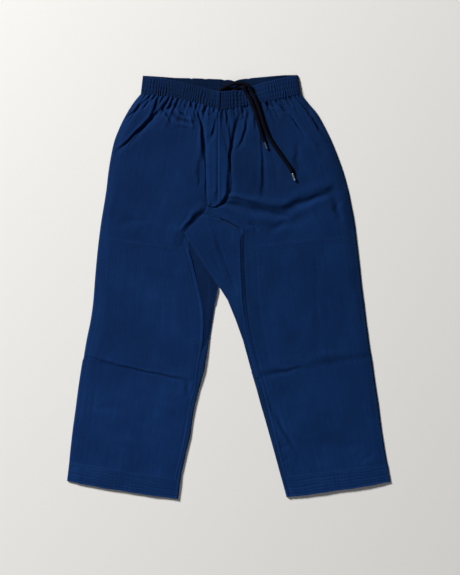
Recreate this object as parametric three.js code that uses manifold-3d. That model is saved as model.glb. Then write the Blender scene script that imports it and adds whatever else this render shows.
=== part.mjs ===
// Pull-on cotton trousers laid flat, front up: drawstring waist, folded crotch gusset,
// knee patches and stitched hem bands. Millimetres, +Z up, waist towards +Y.
// The wearer's right leg lies at -X. Every cloth piece is a thin wall of its own.
import * as THREE from 'three';
import Module from 'manifold-3d';

const wasm = await Module();
wasm.setup();
const { Manifold, Mesh } = wasm;

// ---------------------------------------------------------------- driving sizes
const CLOTH = 1.2;          // wall of a single panel
const PATCH = 0.9;          // wall of a patch or placket
const BAND = 2.4;           // wall of the elastic waistband
const GAP = 0.4;            // air between neighbouring pieces
const EDGE = 2.9;           // upper face of a front panel at its lowest
const ROLL = 24;            // how far in from the side edge the front rises
const RIB_PITCH = 6.2;      // elastic ribs along the waistband
const RIB_DEPTH = 0.8;
const FOLD_WIDTH_MIN = 8;   // folds narrower than this are widened to suit the facets
const HEM_RAISE = 0.5;      // hem band above the panel it continues
const CORD_W = 9.0;          // flat braid, wide
const CORD_H = 5.0;          // and high
const CORD_SIDES = 10;
const AGLET_D = 5.0;
const AGLET_L = 17;
const CENTRE = [0.35, 1.21]; // middle of the plan below, moved to the origin

// ---------------------------------------------------------------- leg sections
// One row for each section across a front panel, from the waist to the leg end:
// side edge x, y; inner edge x, y; bow of the section; upper face at the side
// edge, at mid panel and at the inner edge.
const COL = { xo: 0, yo: 1, xi: 2, yi: 3, bow: 4, zo: 5, zm: 6, zi: 7 };
const RIGHT = [
  [-196.3, 432.9, -21.9, 396.9, 6.8, 5.4, 8.0, 9.5],    // waist
  [-213.2, 412.6, -22.2, 376.6, 4.5, 4.4, 9.0, 10.0],
  [-230.1, 385.6, -22.4, 347.4, 2.2, 3.6, 9.5, 10.5],
  [-243.6, 358.6, -22.6, 313.6, 0.0, 3.1, 9.0, 10.5],
  [-255.9, 327.1, -23.1, 279.9, 0.0, 2.9, 8.5, 10.0],
  [-263.8, 291.1, -24.2, 246.1, 0.0, 2.9, 8.0, 9.5],
  [-269.4, 255.1, -30.9, 214.6, 0.0, 2.9, 7.5, 8.5],
  [-273.9, 216.9, -45.6, 182.0, 0.0, 2.9, 7.2, 6.5],    // crotch
  [-279.6, 180.9, -70.3, 142.6, 0.0, 2.9, 7.0, 4.6],
  [-285.2, 147.1, -86.1, 111.1, 0.0, 2.9, 6.6, 4.3],
  [-289.7, 113.4, -89.4, 88.6, 0.0, 2.9, 6.2, 4.3],     // patch top
  [-293.1, 84.1, -82.7, 61.6, 0.0, 2.9, 6.0, 4.4],
  [-296.4, 50.4, -74.8, 30.1, 0.0, 2.9, 5.8, 4.6],
  [-299.8, 9.9, -66.9, -3.6, 0.0, 2.9, 5.7, 4.8],
  [-303.2, -32.9, -59.1, -41.9, 0.0, 2.9, 5.7, 5.0],
  [-308.8, -73.4, -56.1, -82.4, 0.0, 2.9, 5.8, 5.2],
  [-316.7, -111.6, -59.1, -129.6, 0.0, 2.9, 6.2, 5.4],
  [-322.3, -143.1, -66.9, -185.9, 0.0, 2.9, 7.0, 5.6],  // patch foot
  [-324.6, -157.7, -69.6, -210.6, 0.0, 2.9, 6.6, 5.2],  // knee crease
  [-327.9, -169.0, -71.9, -226.4, 0.0, 2.9, 4.6, 4.6],
  [-335.8, -219.6, -82.7, -266.9, 0.0, 2.9, 5.0, 4.6],
  [-342.6, -271.4, -90.6, -316.4, 0.0, 2.9, 5.2, 4.6],
  [-349.3, -320.9, -100.0, -365.9, 0.0, 2.9, 5.2, 4.6],
  [-354.9, -370.4, -111.0, -410.9, 0.0, 2.9, 5.0, 4.6],
  [-356.7, -390.6, -114.9, -431.1, -1.1, 3.4, 5.0, 4.8], // hem top
  [-361.7, -433.4, -119.1, -472.7, -2.2, 3.6, 5.2, 4.8], // leg end
];
const LEFT = [
  [161.4, 432.9, -19.7, 396.9, -2.2, 5.4, 8.0, 9.5],    // waist
  [178.3, 412.6, -19.9, 376.6, -2.2, 4.4, 9.0, 10.0],
  [197.4, 390.1, -20.1, 347.4, 0.0, 3.6, 9.5, 10.5],
  [213.2, 363.1, -20.4, 313.6, 0.0, 3.1, 9.0, 10.5],
  [228.9, 331.6, -20.8, 279.9, 0.0, 2.9, 8.5, 10.0],
  [243.6, 295.6, -21.9, 246.1, 0.0, 2.9, 8.2, 9.5],
  [257.1, 257.4, -28.7, 214.6, 0.0, 2.9, 8.0, 8.5],
  [268.3, 216.9, -42.2, 182.0, 0.0, 2.9, 7.5, 7.0],     // crotch
  [274.6, 185.4, -23.1, 158.4, 0.0, 2.9, 7.5, 7.0],
  [280.0, 158.4, 3.9, 142.6, 0.0, 2.9, 7.2, 7.4],
  [283.4, 135.9, 26.9, 126.9, 0.0, 2.9, 7.0, 8.4],
  [285.6, 117.9, 28.0, 93.1, 0.0, 2.9, 6.6, 8.4],       // patch top
  [289.7, 84.1, 28.7, 57.1, 0.0, 2.9, 6.2, 8.2],
  [294.2, 43.6, 30.5, 16.6, 0.0, 2.9, 5.9, 7.8],
  [298.7, 0.9, 33.2, -28.4, 0.0, 2.9, 5.7, 7.2],
  [304.3, -41.9, 38.8, -73.4, 0.0, 2.9, 5.6, 6.6],
  [309.9, -86.9, 47.8, -122.9, 0.0, 2.9, 5.7, 6.2],
  [316.2, -134.1, 61.3, -181.4, 0.0, 2.9, 6.2, 6.0],    // patch foot
  [319.6, -152.1, 68.5, -201.6, 0.0, 2.9, 5.2, 5.4],    // knee crease
  [322.1, -167.9, 73.7, -219.6, 0.0, 2.9, 5.4, 5.2],
  [327.9, -210.6, 84.5, -260.1, 0.0, 2.9, 5.4, 4.9],
  [335.8, -262.4, 98.0, -314.1, 0.0, 2.9, 5.2, 4.7],
  [342.6, -316.4, 110.4, -365.9, 0.0, 2.9, 5.0, 4.6],
  [351.6, -372.6, 120.5, -408.6, 0.0, 2.9, 5.0, 4.6],
  [355.4, -396.2, 124.3, -424.4, -1.1, 3.4, 5.0, 4.8],  // hem top
  [362.4, -435.6, 132.6, -469.4, -1.8, 3.6, 5.2, 4.8],  // leg end
];
const ROW = { waist: 0, crotch: 7, hemTop: 24, end: 25 };

// inner outline of each leg as seen from above, y falling; above the fork both
// follow the centre back seam
const FORK = [-20.9, 1.0];
const INNER_RIGHT = [[-21.2, 440], [-21.2, 1.0], [-25.3, -12.6], [-30.9, -44.1], [-37.0, -84.6],
  [-44.4, -125.1], [-54.6, -188.1], [-65.8, -226.4], [-74.8, -262.4], [-81.6, -298.4],
  [-86.1, -334.4], [-95.1, -370.4], [-105.2, -415.4], [-113.1, -473.9], [-113.9, -480]];
const INNER_LEFT = [[-20.7, 440], [-20.7, 1.0], [-9.6, -10.4], [-2.8, -28.4], [6.2, -46.4],
  [19.7, -82.4], [33.2, -118.4], [42.2, -154.4], [51.6, -190.4], [62.4, -226.4],
  [72.1, -262.4], [82.7, -298.4], [92.8, -334.4], [102.9, -370.4], [112.6, -406.4],
  [130.4, -471.6], [132.7, -480]];

// waistband edges as seen from above, x rising
const FRONT_BAND_TOP = [[-191.8, 472.3], [-142.3, 466.6], [-108.6, 459.9], [-81.6, 453.1],
  [-45.6, 444.1], [-20.8, 437.6], [-5.1, 438.5], [20, 440.0], [30, 441.2], [37, 444.2], [75.9, 457.6],
  [123.2, 468.9], [154.2, 474.5]];
const BACK_BAND_TOP = [[-191.8, 474.5], [-153.6, 472.3], [-119.8, 469.6], [-81.6, 468.9],
  [-20.8, 466.6], [15.2, 464.4], [39.9, 468.2], [71.4, 471.1], [123.2, 475.6], [154.7, 476.1]];
const BACK_BAND_FOOT = [[-196.3, 432.9], [-108.6, 426.1], [-20.8, 422.8], [71.4, 426.1], [161.4, 432.9]];

// ---------------------------------------------------------------- folds
// start x, y; bow to the left of the run; end x, y; half width; depth (below
// zero a trough, above zero a ridge); bulge beside it (above zero on the right
// of the run, below zero on the left)
const FOLDS = [
  ['hip crease high', -178.3, 426.1, 1.3, -240.2, 369.9, 4.5, -2.2, 1.0],
  ['hip crease main', -137.8, 414.9, 2.7, -248.1, 306.9, 7.5, -5.0, 2.2],
  ['hip crease spur', -158.1, 410.4, -2.2, -173.8, 378.9, 5.0, -2.0, 0.8],
  ['waist gather a', -117.6, 412.6, 0.0, -146.8, 394.6, 4.5, -1.8, 1.0],
  ['waist gather b', -122.1, 386.8, -4.5, -81.6, 366.5, 4.5, -1.6, 0.8],
  ['waist gather c', -95.1, 412.6, 0.9, -79.3, 356.4, 5.5, 1.9, 0.0],
  ['fly side fold', -70.3, 403.6, 2.7, -52.3, 286.6, 6.0, -4.2, 1.8],
  ['fly side fold foot', -61.3, 295.6, 1.3, -68.1, 225.9, 8.0, -1.4, 0.6],
  ['centre gather a', -50.1, 394.6, 0.0, -34.3, 378.9, 4.0, -1.4, 0.5],
  ['centre trough', 26.4, 396.9, -3.4, -3.9, 232.6, 8.0, -3.8, 1.4],
  ['centre trough side', 46.7, 401.4, 3.6, 21.9, 311.4, 6.5, -2.6, 1.2],
  ['crotch trough', 6.2, 286.6, 25.0, -34.3, 177.5, 6.5, -3.4, 1.2],
  ['front long fold', 71.4, 358.6, 3.6, 74.8, 203.4, 5.5, -2.6, 1.4],
  ['crotch pull brow', 14.0, 207.0, 2.0, 138.0, 196.0, 12.0, 2.0, 0.0],
  ['crotch pull', -0.6, 192.0, -7.6, 109.7, 173.0, 10.0, -4.2, 2.6],
  ['crotch pull far', 109.7, 173.0, 4.5, 222.2, 220.3, 13.0, -3.0, 1.4],
  ['crotch pull turn', 231.2, 212.4, 4.5, 262.7, 153.9, 12.0, -2.0, 0.8],
  ['hip trough soft', 93.9, 126.9, 2.2, 181.7, 160.6, 14.0, -1.8, 0.8],
  ['left hip crease a', 105.2, 419.4, 2.7, 168.2, 340.6, 6.0, -3.0, 1.2],
  ['left hip ridge', 161.4, 349.6, 2.2, 204.2, 295.6, 8.0, 1.6, 0.0],
  ['left hip crease c', 155.8, 423.9, -3.6, 225.6, 331.6, 5.5, -2.8, 1.2],
  ['left hip shade', 152.4, 322.6, 1.3, 156.9, 250.6, 12.0, -1.6, 0.8],
  ['right knee crease', -324.6, -156.6, -2.2, -212.1, -185.9, 6.0, -2.6, -2.0],
  ['right knee crease in', -234.6, -181.4, -1.1, -86.1, -210.6, 8.0, -4.0, -3.4],
  ['left knee crease in', 62.4, -201.6, -1.3, 161.4, -179.1, 9.0, -3.0, -2.2],
  ['left knee crease', 161.4, -179.1, -1.8, 321.2, -152.1, 7.0, -1.9, -1.4],
  ['right thigh crease', -281.8, 153.9, 1.3, -99.6, 142.6, 8.0, -1.5, 1.0],
  ['left shin furrow', 87.2, -248.9, -4.5, 161.4, -372.6, 8.0, -2.6, 1.6],
  ['left shin band', 201.9, -352.4, 0.0, 300.9, -354.6, 10.0, -1.4, 0.8],
].map(([name, x0, y0, bow, x1, y1, width, depth, bulge]) => ({ name, x0, y0, bow, x1, y1, width, depth, bulge }));

// ---------------------------------------------------------------- small helpers
const mix = (a, b, t) => a + (b - a) * t;
const ease = (t) => { const c = Math.min(1, Math.max(0, t)); return c * c * (3 - 2 * c); };

function alongY(line, y) {                     // x on a line whose y falls
  for (let k = 1; k < line.length; k++) {
    if (y >= line[k][1] || k === line.length - 1) {
      const [xa, ya] = line[k - 1], [xb, yb] = line[k];
      return mix(xa, xb, (ya - y) / (ya - yb));
    }
  }
}
function alongX(line, x) {                     // y on a line whose x rises
  for (let k = 1; k < line.length; k++) {
    if (x <= line[k][0] || k === line.length - 1) {
      const [xa, ya] = line[k - 1], [xb, yb] = line[k];
      return mix(ya, yb, (x - xa) / (xb - xa));
    }
  }
}
function spline(table, t) {                    // smooth row of a section table
  const n = table.length - 1, k = Math.min(n - 1, Math.floor(t)), f = t - k;
  const a = table[Math.max(0, k - 1)], b = table[k], c = table[k + 1], d = table[Math.min(n, k + 2)];
  return b.map((_, i) => 0.5 * (2 * b[i] + (c[i] - a[i]) * f
    + (2 * a[i] - 5 * b[i] + 4 * c[i] - d[i]) * f * f
    + (3 * b[i] - a[i] - 3 * c[i] + d[i]) * f * f * f));
}
function foldHeight(x, y) {
  let h = 0;
  for (const f of FOLDS) {
    const dx = f.x1 - f.x0, dy = f.y1 - f.y0, len = Math.hypot(dx, dy);
    const ux = dx / len, uy = dy / len, px = x - f.x0, py = y - f.y0;
    const t = (px * ux + py * uy) / len;
    if (t < -0.05 || t > 1.05) continue;
    const taper = Math.pow(Math.max(0, Math.sin(Math.PI * Math.min(1, Math.max(0, 0.06 + 0.88 * t)))), 0.7);
    const d = -px * uy + py * ux - f.bow * 4 * t * (1 - t);   // above zero on the left
    const w = Math.max(FOLD_WIDTH_MIN, f.width);
    const side = f.bulge > 0 ? -1 : 1;
    h += taper * (f.depth * Math.exp(-(d * d) / (w * w))
      + Math.abs(f.bulge) * Math.exp(-Math.pow((d - side * 1.7 * w) / (1.2 * w), 2)));
  }
  return h;
}

// closed wall between two grids of points, both [row][column]
function wall(outer, inner, ringed = false) {
  const rows = outer.length, cols = outer[0].length, flat = [], index = [];
  for (const grid of [outer, inner]) for (const row of grid) for (const p of row) flat.push(...p);
  const id = (g, r, c) => g * rows * cols + r * cols + (c % cols);
  const quad = (a, b, c, d) => index.push(a, b, c, a, c, d);
  const span = ringed ? cols : cols - 1;
  for (let r = 0; r < rows - 1; r++) for (let c = 0; c < span; c++) {
    quad(id(0, r, c), id(0, r + 1, c), id(0, r + 1, c + 1), id(0, r, c + 1));
    quad(id(1, r, c), id(1, r, c + 1), id(1, r + 1, c + 1), id(1, r + 1, c));
  }
  for (let c = 0; c < span; c++) {
    quad(id(0, 0, c), id(0, 0, c + 1), id(1, 0, c + 1), id(1, 0, c));
    quad(id(0, rows - 1, c), id(1, rows - 1, c), id(1, rows - 1, c + 1), id(0, rows - 1, c + 1));
  }
  if (!ringed) for (let r = 0; r < rows - 1; r++) {
    quad(id(0, r, 0), id(1, r, 0), id(1, r + 1, 0), id(0, r + 1, 0));
    quad(id(0, r, cols - 1), id(0, r + 1, cols - 1), id(1, r + 1, cols - 1), id(1, r, cols - 1));
  }
  let volume = 0;
  const at = (i) => flat.slice(3 * i, 3 * i + 3);
  for (let i = 0; i < index.length; i += 3) {
    const [a, b, c] = [at(index[i]), at(index[i + 1]), at(index[i + 2])];
    volume += a[0] * (b[1] * c[2] - b[2] * c[1]) - a[1] * (b[0] * c[2] - b[2] * c[0]) + a[2] * (b[0] * c[1] - b[1] * c[0]);
  }
  if (volume < 0) for (let i = 0; i < index.length; i += 3) [index[i], index[i + 1]] = [index[i + 1], index[i]];
  return { flat, index };
}
const lower = (grid, t) => grid.map((row) => row.map(([x, y, z]) => [x, y, z - t]));

function geometryOf({ flat, index }) {
  const g = new THREE.BufferGeometry();
  g.setAttribute('position', new THREE.Float32BufferAttribute(flat, 3));
  g.setIndex(index);
  g.computeVertexNormals();
  return g;
}
const solidOf = ({ flat, index }) => new Manifold(new Mesh({
  numProp: 3, vertProperties: Float32Array.from(flat), triVerts: Uint32Array.from(index) }));
function joined(...bodies) {
  const mesh = Manifold.union(bodies.map(solidOf)).simplify(0.005).getMesh();
  const g = new THREE.BufferGeometry();
  g.setAttribute('position', new THREE.Float32BufferAttribute(mesh.vertProperties, 3));
  g.setIndex(Array.from(mesh.triVerts));
  g.computeVertexNormals();
  return g;
}

// highest upper face under a point, over a list of point grids
function topOver(grids, x, y) {
  let best = -Infinity;
  for (const grid of grids) for (let r = 0; r + 1 < grid.length; r++) {
    for (let c = 0; c + 1 < grid[r].length; c++) {
      const [a, b, d, e] = [grid[r][c], grid[r + 1][c], grid[r + 1][c + 1], grid[r][c + 1]];
      if (Math.min(a[0], b[0], d[0], e[0]) > x || Math.max(a[0], b[0], d[0], e[0]) < x) continue;
      if (Math.min(a[1], b[1], d[1], e[1]) > y || Math.max(a[1], b[1], d[1], e[1]) < y) continue;
      for (const [p, q, s] of [[a, b, d], [a, d, e]]) {
        const den = (q[1] - s[1]) * (p[0] - s[0]) + (s[0] - q[0]) * (p[1] - s[1]);
        const u = ((q[1] - s[1]) * (x - s[0]) + (s[0] - q[0]) * (y - s[1])) / den;
        const v = ((s[1] - p[1]) * (x - s[0]) + (p[0] - s[0]) * (y - s[1])) / den;
        if (u >= -1e-6 && v >= -1e-6 && u + v <= 1 + 1e-6) best = Math.max(best, u * p[2] + v * q[2] + (1 - u - v) * s[2]);
      }
    }
  }
  return best;
}
function topNear(grids, x, y, reach) {
  let best = -Infinity;
  for (let i = -2; i <= 2; i++) for (let j = -2; j <= 2; j++) {
    best = Math.max(best, topOver(grids, x + i * reach / 2, y + j * reach / 2));
  }
  return best;
}

// ---------------------------------------------------------------- front panels
const ACROSS = [0, 0.018, 0.055, 0.1, 0.17, 0.25, 0.33, 0.41, 0.49, 0.57, 0.65, 0.73, 0.8, 0.87, 0.94, 1];

function sectionPoint(table, t, u) {
  const s = spline(table, t);
  const w = Math.hypot(s[COL.xi] - s[COL.xo], s[COL.yi] - s[COL.yo]);
  const x = mix(s[COL.xo], s[COL.xi], u), y = mix(s[COL.yo], s[COL.yi], u) + s[COL.bow] * 4 * u * (1 - u);
  let z = mix(s[COL.zo], s[COL.zm], Math.sin(0.5 * Math.PI * Math.min(1, u * w / ROLL)));
  z += (s[COL.zi] - s[COL.zm]) * ease((u - 0.55) / 0.45);
  let fade = Math.min(1, u * w / 10);
  if (t > ROW.crotch) fade *= mix(1, Math.min(1, (1 - u) * w / 10), ease(t - ROW.crotch));
  if (t < 1) fade *= mix(0.35, 1, t);
  return [x, y, Math.max(EDGE, z + fade * foldHeight(x, y))];
}
function stepsFor(from, to) {                  // twice as many sections above the crotch
  const out = [];
  for (let k = from; k < to; k++) { out.push(k); if (k < ROW.crotch + 2) out.push(k + 0.5); }
  out.push(to);
  return out;
}
const panelSteps = stepsFor(ROW.waist, ROW.hemTop);
function panelGrid(table) { return panelSteps.map((t) => ACROSS.map((u) => sectionPoint(table, t, u))); }
const rightGrid = panelGrid(RIGHT), leftGrid = panelGrid(LEFT);

// ---------------------------------------------------------------- back panels
function innerEnd(row, line) {                 // where a section meets the leg's inner outline
  const slope = (row[COL.yi] - row[COL.yo]) / (row[COL.xi] - row[COL.xo]);
  let x = row[COL.xi];
  for (let k = 0; k < 12; k++) x = mix(x, alongY(line, row[COL.yi] + (x - row[COL.xi]) * slope), 0.7);
  return [x, row[COL.yi] + (x - row[COL.xi]) * slope];
}
function backPanel(table, line, wrapFrom) {
  const flatRows = [], wrapOuter = [], wrapInner = [];
  const section = (t) => {
    const row = spline(table, t), a = [row[COL.xo], row[COL.yo]], e = innerEnd(row, line);
    if (t < 3) {                                // the top edge follows the back band's foot
      const foot = alongX(BACK_BAND_FOOT, e[0]) - GAP;
      if (t === 0) a[1] = alongX(BACK_BAND_FOOT, a[0]) - GAP;
      e[1] = mix(foot, e[1], t / 3);
    }
    const len = Math.hypot(e[0] - a[0], e[1] - a[1]), dir = [(e[0] - a[0]) / len, (e[1] - a[1]) / len];
    return { row, a, e, len, on: (s, z) => [a[0] + dir[0] * s, a[1] + dir[1] * s, z] };
  };
  for (const t of stepsFor(ROW.waist, ROW.hemTop)) {
    const { a, e, len, on } = section(t);
    const stop = t >= wrapFrom ? len - 5 : len - (e[1] > FORK[1] ? 0 : 1);
    flatRows.push([0, 0.25, 0.5, 0.75, 1].map((u) => {
      const p = on(stop * u, 0);
      if (t === 0) p[1] = alongX(BACK_BAND_FOOT, mix(a[0], e[0], u)) - GAP;
      return p;
    }));
  }
  // below the gusset the panel turns round the inner edge and comes up to the front's seam
  const turns = [wrapFrom, wrapFrom + 0.45];
  for (let t = Math.ceil(wrapFrom + 0.46); t <= ROW.hemTop; t++) turns.push(t);
  for (const t of turns) {
    const { row, a, len, on } = section(t);
    const h = row[COL.zi], r = h / 2, seam = Math.hypot(row[COL.xi] - a[0], row[COL.yi] - a[1]);
    const outer = [on(len - 12, 0), on(len - r, 0)], inner = [on(len - 12, CLOTH), on(len - r, CLOTH)];
    for (let k = 1; k < 6; k++) {
      const q = Math.PI * (k / 6 - 0.5);
      outer.push(on(len - r + r * Math.cos(q), r + r * Math.sin(q)));
      inner.push(on(len - r + (r - CLOTH) * Math.cos(q), r + (r - CLOTH) * Math.sin(q)));
    }
    const lap = Math.min(seam + GAP, len - r - 0.6);
    outer.push(on(len - r, h), on(lap, h));
    inner.push(on(len - r, h - CLOTH), on(lap, h - CLOTH));
    wrapOuter.push(outer); wrapInner.push(inner);
  }
  const raised = flatRows.map((r) => r.map(([x, y]) => [x, y, CLOTH]));
  return joined(wall(raised, flatRows), wall(wrapOuter, wrapInner));
}

// ---------------------------------------------------------------- gusset
// The diamond lies in a Z: its top layer runs from the left leg's front to a free
// fold over the right leg, returns beneath it, and goes on to the right leg's front.
// section of the left leg's table; free edge x, y; least height of the return
// layer's underside; reach of the return layer
const GUSSET_TOP = [
  [7.1, -48.6, 178.0, 4.9, 4],
  [7.5, -54.0, 167.4, 4.9, 7],
  [8, -64.7, 155.0, 4.9, 14],
  [8.5, -73.9, 146.8, 4.9, 24],
  [9, -82.7, 138.2, 4.9, 34],
  [10, -98.4, 121.3, 4.9, 60],
  [11, -78.2, 88.7, 4.9, 53],
  [12, -55.7, 52.7, 4.9, 33],
  [13, -29.8, 13.3, 4.6, 9],
  [14, -2.8, -28.4, 2.4, 7],
  [15, 16.3, -73.4, 1.7, 6],
  [16, 32.7, -118.4, 1.7, 6],
  [17, 49.6, -181.4, 1.7, 6],
  [18, 57.4, -204.0, 1.7, 6],
];
// section of the right leg's table; inner end x, y; 1 where it turns up into the return layer
const GUSSET_FOOT = [
  [8, -52.3, 146.0, 1],
  [9, -34.3, 115.7, 1],
  [10, -25.3, 93.2, 1],
  [11, -23.1, 63.9, 1],
  [12, -21.9, 33.5, 1],
  [13, -22.4, 1.0, 0.6],
  [14, -30.9, -39.6, 0],
  [15, -37.7, -81.2, 0],
  [16, -44.4, -124.0, 0],
];
const LOW_LAYER = 3.3;      // upper face of the bottom layer

const gussetTopGrid = [];
let gusset;
{
  const outer = [], inner = [], returns = [];
  for (const [t, xe, ye, least, reach] of GUSSET_TOP) {
    const row = spline(LEFT, t);
    const len = Math.hypot(row[COL.xi] - xe, row[COL.yi] - ye);
    const dir = [(xe - row[COL.xi]) / len, (ye - row[COL.yi]) / len];
    const on = (s, z) => [row[COL.xi] + dir[0] * s, row[COL.yi] + dir[1] * s, z];
    let under = least;
    for (let k = 0; k <= 12; k++) {
      const p = on(len - Math.min(reach, len * 0.9) * k / 12, 0);
      under = Math.max(under, topNear([rightGrid], p[0], p[1], 5) + GAP);
    }
    const free = Math.max(under + 2 * CLOTH + 0.5, Math.min(row[COL.zi], under + 4.6)), r = (free - under) / 2;
    const ups = [], ins = [];
    const crest = (s) => {
      const p = on(s, 0), f = s / (len - r);
      const z = mix(row[COL.zi], free, ease(f)) + 0.55 * foldHeight(p[0], p[1]) * Math.min(1, s / 8) * Math.max(0, 1 - f * 1.4);
      return Math.max(z, under + 2 * CLOTH + 0.4);
    };
    for (const u of [0, 0.14, 0.32, 0.52, 0.72, 0.9, 1]) {
      const s = mix(GAP + 0.3, len - r, u), z = u === 1 ? free : u === 0 ? Math.max(row[COL.zi], under + 2 * CLOTH + 0.4) : crest(s);
      ups.push(on(s, z)); ins.push(on(s, z - CLOTH));
    }
    gussetTopGrid.push([...ups, on(len, free - r)]);
    for (let k = 1; k < 6; k++) {
      const q = Math.PI * (0.5 - k / 6);
      ups.push(on(len - r + r * Math.cos(q), under + r + r * Math.sin(q)));
      ins.push(on(len - r + (r - CLOTH) * Math.cos(q), under + r + (r - CLOTH) * Math.sin(q)));
    }
    const back = Math.min(len - GAP - 0.5, Math.max(reach, r + 1.2));
    for (const s of [len - r, len - r - Math.max(0.2, back - r)]) { ups.push(on(s, under)); ins.push(on(s, under + CLOTH)); }
    outer.push(ups); inner.push(ins); returns.push([ye, under]);
  }
  const underAt = (y) => alongY(returns.map(([yy, z]) => [z, yy]), y);
  const foot = [];
  for (const [t, xh, yh, up] of GUSSET_FOOT) {
    const row = spline(RIGHT, t), len = Math.hypot(xh - row[COL.xi], yh - row[COL.yi]);
    const at = (s, z) => [mix(row[COL.xi], xh, s / len), mix(row[COL.yi], yh, s / len), z];
    const rise = up > 0 ? mix(LOW_LAYER, Math.min(6.6, underAt(yh) + 0.7), up) : EDGE;
    foot.push([at(GAP, Math.min(row[COL.zi], 4.4)), at(len * 0.3, up ? LOW_LAYER : 4.6), at(len * 0.6, up ? LOW_LAYER : 4.4),
      at(Math.max(len * 0.7, len - 4), up ? mix(LOW_LAYER, rise, 0.6) : 3.9), at(Math.max(len * 0.8, len - 2), rise), at(len, rise)]);
  }
  const footLow = foot.map((r) => r.map(([x, y, z]) => [x, y, Math.min(z - CLOTH, LOW_LAYER - CLOTH)]));
  gusset = joined(wall(outer, inner), wall(foot, footLow));
}

// ---------------------------------------------------------------- waistband
const BAND_COLUMNS = 34;    // for each leg
function bandStations() {
  const out = [];
  for (let k = 0; k <= BAND_COLUMNS; k++) out.push(sectionPoint(RIGHT, 0, k / BAND_COLUMNS));
  for (let k = BAND_COLUMNS - 1; k >= 0; k--) out.push(sectionPoint(LEFT, 0, k / BAND_COLUMNS));
  return out;
}
const frontBandGrid = [], stations = bandStations();
{
  const topXs = [-191.8, 154.2];
  for (const v of [0, 0.3, 0.7, 1]) {
    frontBandGrid.push(stations.map(([x, y, z], k) => {
      const f = k / (stations.length - 1), cx = mix(topXs[0], topXs[1], f);
      const px = mix(x, cx, v), py = mix(y + GAP + 0.2, alongX(FRONT_BAND_TOP, cx), v);
      const centre = Math.exp(-Math.pow((cx + 13) / 75, 2)), lip = Math.exp(-Math.pow((cx + 5) / 28, 4));
      const top = 5.6 + 2.0 * centre + 4.6 * lip * Math.sqrt(v);
      const rib = RIB_DEPTH * (k % 2 ? 0.5 : -0.5) * Math.sin(Math.PI * mix(0.18, 0.82, v));
      return [px, py, mix(z + 0.8, top, v) + rib];
    }));
  }
}
const backBandGrid = [0, 0.5, 1].map((v) => {
  const row = [];
  for (let k = 0; k <= 40; k++) {
    const f = k / 40, xf = mix(-196.3, 161.4, f), xt = mix(-191.8, 154.7, f);
    row.push([mix(xf, xt, v), mix(alongX(BACK_BAND_FOOT, xf), alongX(BACK_BAND_TOP, xt), v), 2.3 + (k % 2 ? 0.25 : -0.25)]);
  }
  return row;
});

// ---------------------------------------------------------------- fly placket
// left edge x, right edge x and y of each section
const FLY = [
  [-47.8, -17.4, 392.4], [-48.5, -16.9, 376], [-49.4, -15.5, 357], [-50.0, -11.5, 336],
  [-50.1, -5.5, 312], [-50.1, -1.0, 288], [-50.1, 3.5, 264], [-49.6, 7.4, 240],
  [-48.8, 6.5, 221], [-47.5, 0.0, 203], [-45.0, -14.0, 190], [-43.3, -26.0, 181.5],
];
const flyGrid = FLY.map(([xl, xr, y]) => [0, 0.2, 0.4, 0.6, 0.8, 1].map((u) => {
  const x = mix(xl, xr, u);
  const roll = y < 372 ? 0.9 * Math.exp(-Math.pow((u - 0.8) / 0.25, 2)) : 0;
  return [x, y, topNear([rightGrid, leftGrid], x, y, 7) + GAP + PATCH + roll];
}));

// ---------------------------------------------------------------- overlays on a panel
function patchOn(grid, rowFrom, rowTo, colFrom, colTo) {
  const a = panelSteps.indexOf(rowFrom), b = panelSteps.indexOf(rowTo);
  const up = (d) => grid.slice(a, b + 1).map((r) => r.slice(colFrom, colTo + 1).map(([x, y, z]) => [x, y, z + d]));
  return { top: up(GAP + PATCH), solid: wall(up(GAP + PATCH), up(GAP)) };
}
const patchRight = patchOn(rightGrid, 10, 17, 3, 14), patchLeft = patchOn(leftGrid, 11, 17, 3, 13);

// ---------------------------------------------------------------- hem bands
function hemRing(table, line) {
  const outer = [], inner = [];
  for (const t of [24.02, 24.25, 24.5, 24.75, 25]) {
    const row = spline(table, t), a = [row[COL.xo], row[COL.yo]], e = innerEnd(row, line);
    const len = Math.hypot(e[0] - a[0], e[1] - a[1]), seam = Math.hypot(row[COL.xi] - a[0], row[COL.yi] - a[1]);
    const on = (s, z) => [mix(a[0], e[0], s / len), mix(a[1], e[1], s / len), z];
    const bowed = (s) => row[COL.bow] * 4 * Math.min(1, s / seam) * (1 - Math.min(1, s / seam));
    const r0 = 2.0, h1 = row[COL.zi] + HEM_RAISE, r1 = h1 / 2, o = [], n = [];
    const put = (s, z, si, zi) => { const p = on(s, z), q = on(si, zi); p[1] += bowed(s); q[1] += bowed(si); o.push(p); n.push(q); };
    for (const u of [0.1, 0.35, 0.65, 0.9]) put(len * u, 0, len * u, CLOTH);
    for (let k = 0; k <= 4; k++) {
      const q = Math.PI * (k / 4 - 0.5);
      put(len - r1 + r1 * Math.cos(q), r1 + r1 * Math.sin(q), len - r1 + (r1 - CLOTH) * Math.cos(q), r1 + (r1 - CLOTH) * Math.sin(q));
    }
    for (let k = 12; k >= 1; k--) {
      const u = k / 13, s = mix(r0, len - r1, u), z = sectionPoint(table, t, Math.min(1, s / seam))[2] + HEM_RAISE;
      const zz = mix(mix(4.0, h1, u), z, Math.min(1, 4 * u * (1 - u) * 3));
      put(s, Math.max(zz, 4.0), s, Math.max(zz, 4.0) - CLOTH);
    }
    for (let k = 0; k <= 4; k++) {
      const q = Math.PI * (0.5 + k / 4);
      put(r0 + r0 * Math.cos(q), r0 + r0 * Math.sin(q), r0 + (r0 - CLOTH) * Math.cos(q), r0 + (r0 - CLOTH) * Math.sin(q));
    }
    outer.push(o); inner.push(n);
  }
  return wall(outer, inner, true);
}

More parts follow.
